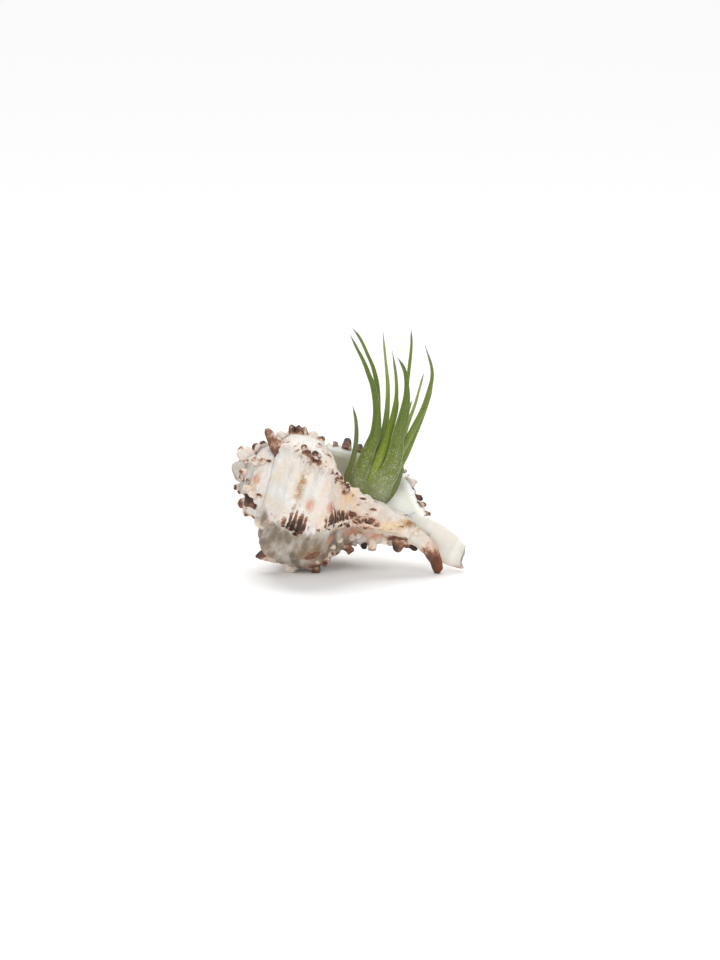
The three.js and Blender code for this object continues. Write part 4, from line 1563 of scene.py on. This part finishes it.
# Spines and knobs of the side that shows, each where the worn shell has it.
SINGLE_SPINES = (
    Spine(0.782, 0.62, 10.2, 3.0, Form.HORN, 0.8, -0.15, 0.4, 0.56, 0.5, 0.2),  # the long horn
    Spine(0.345, 2.5, 7.4, 4.4, Form.SPIKE, 0.0, -0.8, 0.2, 0.5, 0.75),
    Spine(0.36, 3.6, 2.2, 2.6, Form.KNOB, 0.0, 0.0, 0.0, 0.06, 0.12),
    Spine(0.36, 4.75, 3.4, 2.1, Form.KNOB, 0.0, 0.2, 0.35, 0.75, 0.9),
    Spine(0.365, 5.35, 2.0, 1.2, Form.CUP, 0.0, 0.2, 0.3, 0.7, 0.3),
    Spine(0.36, 5.9, 1.6, 1.1, Form.KNOB, 0.0, 0.0, 0.2, 0.5, 0.6),
    Spine(0.37, 6.45, 3.0, 1.8, Form.CUP, 0.1, 0.2, 0.4, 0.85, 0.8),
    Spine(0.35, 7.3, 2.6, 1.4, Form.KNOB, -0.2, 0.0, 0.7, 1.0, 1.0),
    Spine(0.385, 7.75, 3.2, 1.9, Form.CUP, 0.0, 0.1, 0.0, 0.5, 0.0),
    Spine(0.42, 8.3, 2.0, 1.5, Form.KNOB, 0.2, 0.0, 0.1, 0.3, 0.1),
    Spine(0.43, 9.0, 3.6, 2.1, Form.KNOB, -0.2, 0.0, 0.4, 0.66, 0.72),
    Spine(0.39, 10.3, 2.8, 1.8, Form.KNOB, 0.0, 0.3, 0.6, 0.9, 0.95),
    Spine(0.44, 9.6, 1.8, 1.3, Form.KNOB, 0.1, 0.0, 0.2, 0.5, 0.6),
    Spine(0.455, 0.85, 2.4, 2.2, Form.KNOB, 0.2, 0.0, 0.0, 0.05, 0.1),
    Spine(1.47, 1.45, 2.6, 3.0, Form.CUP, 0.0, -0.3, 0.8, 0.9, 0.1),
    Spine(2.88, 1.0, 4.2, 3.0, Form.KNOB, 0.0, -0.3, 0.1, 0.2, 0.36),
    Spine(2.6, 0.8, 1.8, 1.5, Form.KNOB, 0.0, -0.3, 0.2, 0.4, 0.5),
    Spine(0.89, 1.3, 2.8, 1.7, Form.KNOB, 0.4, 0.0, 0.0, 0.1, 0.15),
    Spine(0.86, 3.5, 2.4, 1.8, Form.KNOB, 0.3, 0.2, 0.0, 0.06, 0.1),
    Spine(0.862, 4.05, 2.0, 1.3, Form.KNOB, 0.2, 0.3, 0.3, 0.6, 0.4),
    Spine(0.0, 3.2, 4.8, 1.7, Form.KNOB, -0.1, 0.1, 0.5, 0.95, 0.9),
    Spine(0.0, 3.6, 4.0, 1.3, Form.KNOB, 0.0, 0.2, 0.5, 1.0, 1.0),
    Spine(0.0, 2.8, 1.8, 1.2, Form.CUP, 0.0, 0.0, 0.3, 0.7, 0.5),
    Spine(0.0, 5.55, 1.2, 0.8, Form.KNOB, 0.0, 0.3, 0.4, 0.9, 1.0),
    Spine(0.0, 6.15, 4.8, 2.0, Form.SPIKE, 0.0, -0.3, 0.1, 0.14, 0.3),
    Spine(0.005, 6.45, 2.0, 1.4, Form.KNOB, 0.0, 0.4, 0.4, 0.7, 0.6),
    Spine(0.0, 6.85, 2.2, 1.4, Form.CUP, -0.1, -0.1, 0.5, 0.9, 0.9),
    Spine(0.0, 7.3, 3.6, 1.2, Form.KNOB, 0.0, -0.2, 0.5, 0.9, 1.0),
    Spine(0.0, 7.9, 1.6, 1.0, Form.CUP, 0.0, 0.0, 0.4, 0.8, 0.8),
    Spine(0.0, 8.5, 1.0, 0.8, Form.KNOB, 0.0, 0.0, 0.3, 0.5, 0.5),
)

CLUSTERS = (
    Cluster(0.868, 2.45, 0.026, 0.6, 14, 3.4, 1.2, Form.KNOB, 0.65, 0.4),
    Cluster(0.79, 4.1, 0.03, 0.5, 6, 1.0, 1.5, Form.KNOB, 0.22, 0.1),
    Cluster(0.73, 2.95, 0.016, 0.26, 3, 2.2, 1.5),
    Cluster(0.718, 3.55, 0.024, 0.36, 6, 2.4, 1.6),
    Cluster(0.712, 5.3, 0.016, 0.5, 5, 1.5, 1.0),
    Cluster(0.712, 6.4, 0.014, 0.45, 5, 1.3, 0.85, Form.CUP, 0.85, 0.7),
    Cluster(0.53, 3.35, 0.006, 0.7, 5, 1.3, 0.9, Form.CUP, 0.8, 0.6),
    Cluster(0.545, 5.9, 0.006, 0.8, 6, 1.1, 0.8, Form.CUP, 0.8, 0.6),
    Cluster(0.575, 7.3, 0.012, 0.5, 4, 1.2, 0.9, Form.KNOB, 0.55, 0.5),
    Cluster(0.43, 6.7, 0.02, 0.9, 5, 1.4, 1.2, Form.KNOB, 0.2, 0.1),
    Cluster(0.4, 5.2, 0.012, 0.6, 4, 1.5, 1.0, Form.CUP, 0.6, 0.3),
)


def far_ribs() -> list[Spine]:
    """A spine on each rib of the far side, and frills that get smaller towards the canal on the older one.

    Returns:
        The spines and frills.
    """
    lip, older = 0.0, 0.167
    made = [
        Spine(turns, 1.25, 8.0 * size, 2.5, Form.SPIKE, 0.0, 0.0, 0.35, 0.75, 0.9)
        for turns, size in ((lip, 0.9), (older, 0.7))
    ]
    for k, row in enumerate((2.4, 3.1, 3.9, 4.7, 5.4, 6.1, 6.9, 7.8)):
        made += Cluster(older, row, 0.012, 0.3, 4, 2.38 - 0.14 * k, 1.19 - 0.049 * k).spines(310 + k)
    return made


def spire_knobs() -> list[Spine]:
    """Three knobs on each rib of the spire, smaller with every rib.

    Returns:
        The knobs.
    """
    draw = np.random.default_rng(11)
    made = []
    for rib in range(6, 19):
        turns = MurexShell.spire_rib_turns * rib
        size = MurexShell.expansion**-turns
        dark = draw.uniform(0.25, 0.75)
        made.append(Spine(turns, 0.9, 5.6 * size, 4.2 * size, Form.KNOB, 0.2, -0.2, 0.1, dark, 0.12))
        made.append(Spine(turns, 1.75, 4.4 * size, 3.6 * size, Form.KNOB, 0.1, 0.0, 0.12, dark, 0.2))
        made.append(Spine(turns + 0.01, 2.4, 2.4 * size, 2.6 * size, Form.KNOB, 0.0, 0.0, 0.1, 0.5, 0.3))
    return made


SPINES = [
    *SINGLE_SPINES,
    *(spine for seed, cluster in enumerate(CLUSTERS) for spine in cluster.spines(200 + seed)),
    *far_ribs(),
    *spire_knobs(),
]


# ---------------------------------------------------------------- the plant


class LeafKind(Enum):
    """Finish of a leaf."""

    MATURE = "mature"
    DEEP = "deep"
    BRIGHT = "bright"
    PALE = "pale"
    OLIVE = "olive"


LEAF_FINISHES = {
    LeafKind.MATURE: ScalyLeaf("scaly_leaf_mature", "aeb07f", "6f7f2c", "5c6e1f", "77746c"),
    LeafKind.DEEP: ScalyLeaf("scaly_leaf_deep", "b0b57e", "8b9b46", "687b22", "77746c"),
    LeafKind.BRIGHT: ScalyLeaf("scaly_leaf_bright", "aab36e", "8ba02c", "758a22", "77746c"),
    LeafKind.PALE: ScalyLeaf("scaly_leaf_pale", "8a925e", "92a254", "9aaa58", "77804c"),
    LeafKind.OLIVE: ScalyLeaf("scaly_leaf_olive", "a39c66", "93904e", "707a40", "6f7048"),
}

Points = tuple[tuple[float, float, float, float], ...]


@dataclass(frozen=True)
class Leaf:
    """One long tapering channelled leaf."""

    node: str
    facing: float  # degrees from +X round the vertical
    middle: Points  # x, y, z and width, from the sheath to the tip
    kind: LeafKind = LeafKind.MATURE


@dataclass
class AirPlant:
    """The plant: a short stem and leaves that overlap at their sheaths."""

    heart: tuple[float, float, float] = (3.6, 8.1, 22.5)
    stem_profile: tuple[tuple[float, float], ...] = (
        (0.4, -4.6), (1.8, -4.2), (3.2, -2.6), (3.7, 0), (3.1, 2.6), (1.6, 4), (0.4, 4.4),
    )
    stem_mesh: tuple[int, int] = (58, 40)  # sides and rings
    stem_girth: float = 0.93  # share of the profile's radius that the fibres are laid on
    thickness: float = 1.0
    tip_thickness: float = 0.5
    least_width: float = 0.35
    gutter: float = 0.22  # depth of the channel, as a share of the width
    root_share: float = 0.7  # width in the heart, as a share of the sheath's
    sides: int = 22
    rings_per_span: int = 9

    def build(self) -> list[bpy.types.Object]:
        """Makes the stem and every leaf."""
        finishes = {kind: finish.build() for kind, finish in LEAF_FINISHES.items()}
        return [self.stem()] + [self.leaf(leaf, finishes[leaf.kind]) for leaf in LEAVES]

    def stem(self) -> bpy.types.Object:
        """Makes the fibrous stem.

        Returns:
            The piece.
        """
        bm = bmesh.new()
        profile = np.array(self.stem_profile, float)
        heart = np.array(self.heart) + CENTRING

        def place(share: float, turn: Array) -> Array:
            """Points of one ring, with fibres round the stem.

            Args:
                share: Share of the length.
                turn: Angles round the ring.

            Returns:
                Their places.
            """
            radius, height = curve_at(profile, np.array(share * (len(profile) - 1)))
            fibre = 1 + 0.07 * np.sin(13 * turn + 3 * share) + 0.04 * np.sin(29 * turn - 5 * share)
            ring = 1 - 0.06 * (0.5 + 0.5 * math.sin(34 * share))
            reach = radius * fibre * ring * self.stem_girth
            level = np.full_like(turn, height)
            return heart + np.stack([reach * np.cos(turn), reach * np.sin(turn), level], axis=-1)

        grow_tube(bm, *self.stem_mesh, place)
        face_outwards(bm)
        return finish_piece("fibrous_stem", bm, DryStemFibre().build(), "stem_base")

    def leaf(self, leaf: Leaf, material: bpy.types.Material) -> bpy.types.Object:
        """Makes one leaf.

        Args:
            leaf: Its course.
            material: Its finish.

        Returns:
            The piece.
        """
        bm = bmesh.new()
        layers = {name: bm.verts.layers.float.new(name) for name in ("length", "across")}
        blade = bm.verts.layers.float_vector.new("blade")
        middle = np.array(leaf.middle, float)
        points = np.vstack([np.array(self.heart), middle[:, :3]]) + CENTRING
        widths = np.concatenate([[middle[0, 3] * self.root_share], middle[:, 3]])[:, None]
        facing = math.radians(leaf.facing)
        outward = np.array([math.cos(facing), math.sin(facing), 0.0])
        spans = len(middle)
        rings = spans * self.rings_per_span + 1

        def frame_at(share: float) -> tuple[Array, Array, Array, float]:
            """Middle, flat direction, keel direction and width at a share of the length.

            Args:
                share: Share of the length.

            Returns:
                The four of them.
            """
            at = share * spans
            ahead = heading(points, at, 0.04)
            flat = unit(np.cross(outward, ahead))
            keel = unit(np.cross(ahead, flat))
            width = max(self.least_width, float(curve_at(widths, np.array(at))[0]))
            return centripetal(points, at), flat, keel, width

        def place(share: float, turn: Array) -> Array:
            """Points of one ring: the keeled outer face on one half and the gutter on the other.

            Args:
                share: Share of the length.
                turn: Angles round the ring.

            Returns:
                Their places.
            """
            centre, flat, keel, width = frame_at(share)
            u = np.cos(turn)
            depth = self.gutter * width * (0.5 - np.abs(u) ** 1.35)
            thick = self.tip_thickness + (self.thickness - self.tip_thickness) * (1 - share)
            edge = np.abs(np.sin(turn)) ** 0.7 * np.sign(np.sin(turn))
            close = min(1.0, (1 - share) * 14 + 0.12)
            lift = depth - thick / 2 + (thick / 2) * edge
            return centre + (np.outer(u * width / 2, flat) + np.outer(lift, keel)) * close

        verts = grow_tube(bm, self.sides, rings, place)
        for i, vertex in enumerate(verts):
            share = (i // self.sides) / (rings - 1)
            u = math.cos(2 * math.pi * (i % self.sides) / self.sides)
            width = float(curve_at(widths, np.array(share * spans))[0])
            vertex[layers["length"]] = share
            vertex[layers["across"]] = u
            vertex[blade] = Vector((u * width / 2, share * 6, 0)) * MM
        face_outwards(bm)
        return finish_piece(leaf.node + "_blade", bm, material, leaf.node)


LEAVES = (
    Leaf("leaf_front_right", -80, (
        (10.7, 5.6, 28.2, 9.4), (13.3, 5, 33.5, 9), (16.3, 4.2, 38.8, 7.6), (18.5, 2.4, 47.6, 5.8),
        (19.2, 1.1, 53.4, 4.9), (21.4, -1, 61.5, 3.9), (22.3, -3, 69.1, 2.8), (22.3, -4.2, 73.3, 2),
        (22, -5.5, 77.6, 1.7), (20.9, -6.7, 81.6, 1.3), (18.5, -8, 85.8, 0.8),
    )),
    Leaf("leaf_front_left", -105, (
        (2.9, 6.6, 30.3, 7.4), (3.3, 6.2, 35.6, 7.2), (5.7, 5.5, 41.3, 5.9), (7.6, 4.7, 47.1, 5.1),
        (9.8, 3.7, 52.9, 4.4), (10.5, 2, 62.1, 3.2), (9.1, -0.1, 72.4, 2.3), (7.4, -1.2, 77.6, 1.9),
        (5.3, -2.5, 83.3, 1.5), (2.8, -3.7, 88.5, 1.1), (0.2, -5, 94.1, 0.8),
    )),
    Leaf("leaf_front_middle", -92, (
        (7.2, 6.8, 27.9, 8.0), (8.8, 6.6, 32.7, 7.4), (11.5, 6, 41.2, 5.8), (14.2, 5.4, 48.3, 4.2),
        (16.2, 4.7, 55.9, 2.9), (17.6, 3.9, 63.2, 2), (18.3, 3.2, 68.9, 1.5), (18.1, 2.4, 76, 1.2),
        (16.6, 1, 86.8, 0.8),
    ), LeafKind.BRIGHT),
    Leaf("leaf_right", -60, (
        (10.3, 8.4, 26, 6), (14.2, 8.2, 31.2, 5.6), (16.8, 7.9, 36.6, 5), (20.3, 7.3, 45.1, 3.9),
        (23.4, 6.8, 50.8, 3.3), (25.8, 6.4, 55.6, 2.9), (29.1, 5.8, 62.8, 2.5), (31.2, 5.1, 69.8, 2),
        (32.4, 4.4, 75.6, 1.6), (32, 3.9, 80.3, 1.2), (29.3, 3, 88.6, 0.8),
    ), LeafKind.DEEP),
    Leaf("leaf_back_left", -100, (
        (3.3, 8.4, 28, 5.6), (4.5, 8.4, 35.1, 5.2), (7.2, 8.3, 42.7, 4.6), (9.6, 8.3, 51.5, 3.8),
        (10.6, 8.2, 61.1, 3), (10.6, 8.2, 71.5, 2.1), (9.2, 8.1, 78.5, 1.6), (7.2, 8.1, 83.4, 1.3),
        (4.1, 8, 90.2, 1.1), (1.2, 8, 94.4, 0.8),
    ), LeafKind.DEEP),
    Leaf("leaf_far_left", -125, (
        (0.2, 8.8, 25.9, 3), (-1.6, 8.6, 30.7, 3.1), (-1.4, 8.2, 35.2, 2.9), (0.6, 7.7, 40.9, 2.6),
        (2.1, 7, 48, 2.2), (2.4, 6, 56.5, 1.7), (1.2, 5, 64.4, 0.8),
    ), LeafKind.OLIVE),
    Leaf("leaf_right_thin", -50, (
        (9.2, 10, 27.6, 4.2), (14.2, 10.4, 34.7, 3.8), (18.9, 11.2, 42.5, 3), (21.4, 12.1, 49.7, 2.4),
        (23.3, 12.9, 55.7, 1.9), (25.8, 13.9, 62.4, 1.4), (27.7, 15, 69.2, 1), (29.3, 16, 75.4, 0.8),
    ), LeafKind.PALE),
    Leaf("leaf_back_middle", 85, (
        (6.8, 11.4, 27.3, 4.6), (9.6, 12.1, 37.1, 4), (12.3, 13, 46.1, 3.2), (14.2, 14.2, 55.4, 2.5),
        (15, 15.4, 63.6, 1.9), (15, 16.7, 71.6, 1.5), (14.2, 18, 79.7, 1), (13.1, 20, 90.9, 0.8),
    ), LeafKind.PALE),
    Leaf("leaf_back_right", 70, (
        (8, 12.6, 28.3, 4.6), (13.1, 13.7, 38.8, 4), (17.4, 15.2, 48.4, 3.2), (20.5, 17.1, 58, 2.4),
        (22.4, 18.9, 66.4, 1.8), (23.1, 20.3, 72.2, 1.4), (23.9, 21.9, 78.9, 1.3),
        (24.5, 23.6, 85.5, 1), (24.3, 25, 90.8, 0.8),
    ), LeafKind.BRIGHT),
    Leaf("leaf_right_short", -40, (
        (11.1, 11.6, 26.1, 4.4), (16.2, 12.2, 32.3, 3.8), (21.6, 13.6, 40.4, 3.2),
        (25.9, 15.5, 50, 2.7), (29.8, 17.8, 59.5, 2.1), (32.2, 19.8, 67, 1.5), (32.9, 22, 74.7, 0.8),
    ), LeafKind.DEEP),
    Leaf("leaf_inner_tip", 60, (
        (9.9, 14.8, 32.6, 3), (16.2, 16.2, 43, 2.6), (20.5, 18.1, 51.8, 2), (23, 19.7, 58.3, 1.4),
        (24.6, 21, 63.2, 0.8),
    ), LeafKind.PALE),
    Leaf("leaf_outer_sheath", -72, (
        (9.6, 8.8, 24.3, 5.6), (13.8, 9.3, 26.6, 5.4), (17, 10.4, 29.9, 4.6), (19.5, 12.6, 34.6, 3.2),
        (21.3, 15, 38.9, 1.6),
    ), LeafKind.OLIVE),
    Leaf("leaf_behind_left", 110, (
        (2.9, 13.8, 28, 5), (4.5, 15.7, 36.4, 4.6), (7.6, 18.2, 43.8, 3.8), (9.9, 21.3, 51.1, 2.8),
        (10.5, 24.4, 57.7, 1.8), (10.1, 27, 62.7, 0.8),
    )),
    Leaf("leaf_behind_right", 75, (
        (4.9, 15, 28.5, 5), (8.8, 16.8, 36.9, 4.4), (12.7, 19.3, 44.4, 3.6), (16.2, 22.3, 51.7, 2.6),
        (18.5, 25.4, 58.2, 1.6), (19.3, 27.5, 62.6, 0.8),
    )),
)


# ---------------------------------------------------------------- studio


@dataclass(frozen=True)
class Panel:
    """A square light panel, in metres and watts."""

    name: str
    place: tuple[float, float, float]
    aim: tuple[float, float, float]
    size: float
    power: float


@dataclass
class Studio:
    """Pale paper, an even room, a broad overhead light, two soft panels and the camera."""

    width_px: int = 720
    height_px: int = 960
    mm_per_px: float = 0.39
    elevation: float = 12.0
    lens: float = 150.0
    sensor: float = 36.0
    target: tuple[float, float, float] = (3.4, 0.0, 35.88)  # in millimetres
    far_m: float = 50.0  # how far the camera sees
    paper_half_m: float = 6.0
    paper_cells: int = 40
    room_light: float = 0.42
    overhead_light: float = 2.25
    overhead_angle: float = 44.0  # a very broad source, so that the shadow is soft
    overhead_from: tuple[float, float, float] = (-0.15, 0.6, 1.0)
    panels: tuple[Panel, ...] = (
        Panel("panel_right", (0.5, -0.45, 0.55), (0.015, 0.01, 0.03), 0.5, 2.7),
        Panel("panel_left", (-0.45, -0.8, 0.5), (0.0, 0.0, 0.03), 0.6, 3.2),
    )

    def build(self) -> None:
        """Makes everything round the object."""
        self.floor()
        self.world()
        self.sun()
        for panel in self.panels:
            self.light(panel)
        self.camera()

    def floor(self) -> None:
        """Lays the flat paper."""
        bm = bmesh.new()
        cells = self.paper_cells
        bmesh.ops.create_grid(bm, x_segments=cells, y_segments=cells, size=self.paper_half_m)
        mesh = bpy.data.meshes.new("paper_sweep")
        bm.to_mesh(mesh)
        bm.free()
        mesh.materials.append(PaperSweep().build())
        floor = bpy.data.objects.new("paper_sweep", mesh)
        bpy.context.scene.collection.objects.link(floor)

    def world(self) -> None:
        """Lights the room evenly."""
        world = bpy.data.worlds.new("soft_room")
        bpy.context.scene.world = world
        world.use_nodes = True
        background = world.node_tree.nodes["Background"]
        background.inputs["Color"].default_value = (1.0, 1.0, 1.0, 1.0)
        background.inputs["Strength"].default_value = self.room_light

    def sun(self) -> None:
        """Adds the broad overhead light."""
        light = bpy.data.lights.new("overhead", "SUN")
        light.energy = self.overhead_light
        light.angle = math.radians(self.overhead_angle)
        lamp = bpy.data.objects.new("overhead", light)
        lamp.rotation_euler = (-Vector(self.overhead_from)).to_track_quat("-Z", "Y").to_euler()
        bpy.context.scene.collection.objects.link(lamp)

    def light(self, panel: Panel) -> None:
        """Adds one panel.

        Args:
            panel: The panel.
        """
        light = bpy.data.lights.new(panel.name, "AREA")
        light.shape = "SQUARE"
        light.size = panel.size
        light.energy = panel.power
        lamp = bpy.data.objects.new(panel.name, light)
        lamp.location = panel.place
        lamp.rotation_euler = (Vector(panel.aim) - Vector(panel.place)).to_track_quat("-Z", "Y").to_euler()
        bpy.context.scene.collection.objects.link(lamp)

    def camera(self) -> None:
        """Makes the camera."""
        data = bpy.data.cameras.new("camera")
        data.lens = self.lens
        data.sensor_width = self.sensor
        data.clip_end = self.far_m
        distance = self.height_px * self.mm_per_px * MM * self.lens / self.sensor
        tilt = math.radians(self.elevation)
        target = Vector(self.target) * MM
        away = Vector((0.0, -math.cos(tilt), math.sin(tilt)))
        camera = bpy.data.objects.new("camera", data)
        camera.location = target + away * distance
        camera.rotation_euler = (-away).to_track_quat("-Z", "Y").to_euler()
        bpy.context.scene.collection.objects.link(camera)
        bpy.context.scene.camera = camera


def main() -> None:
    """Builds the object and its studio."""
    logging.basicConfig(level=logging.INFO, format="%(name)s: %(message)s")
    bpy.context.scene.view_settings.view_transform = "Standard"
    Studio().build()
    MurexShell().build()
    AirPlant().build()


if __name__ == "__main__":
    main()
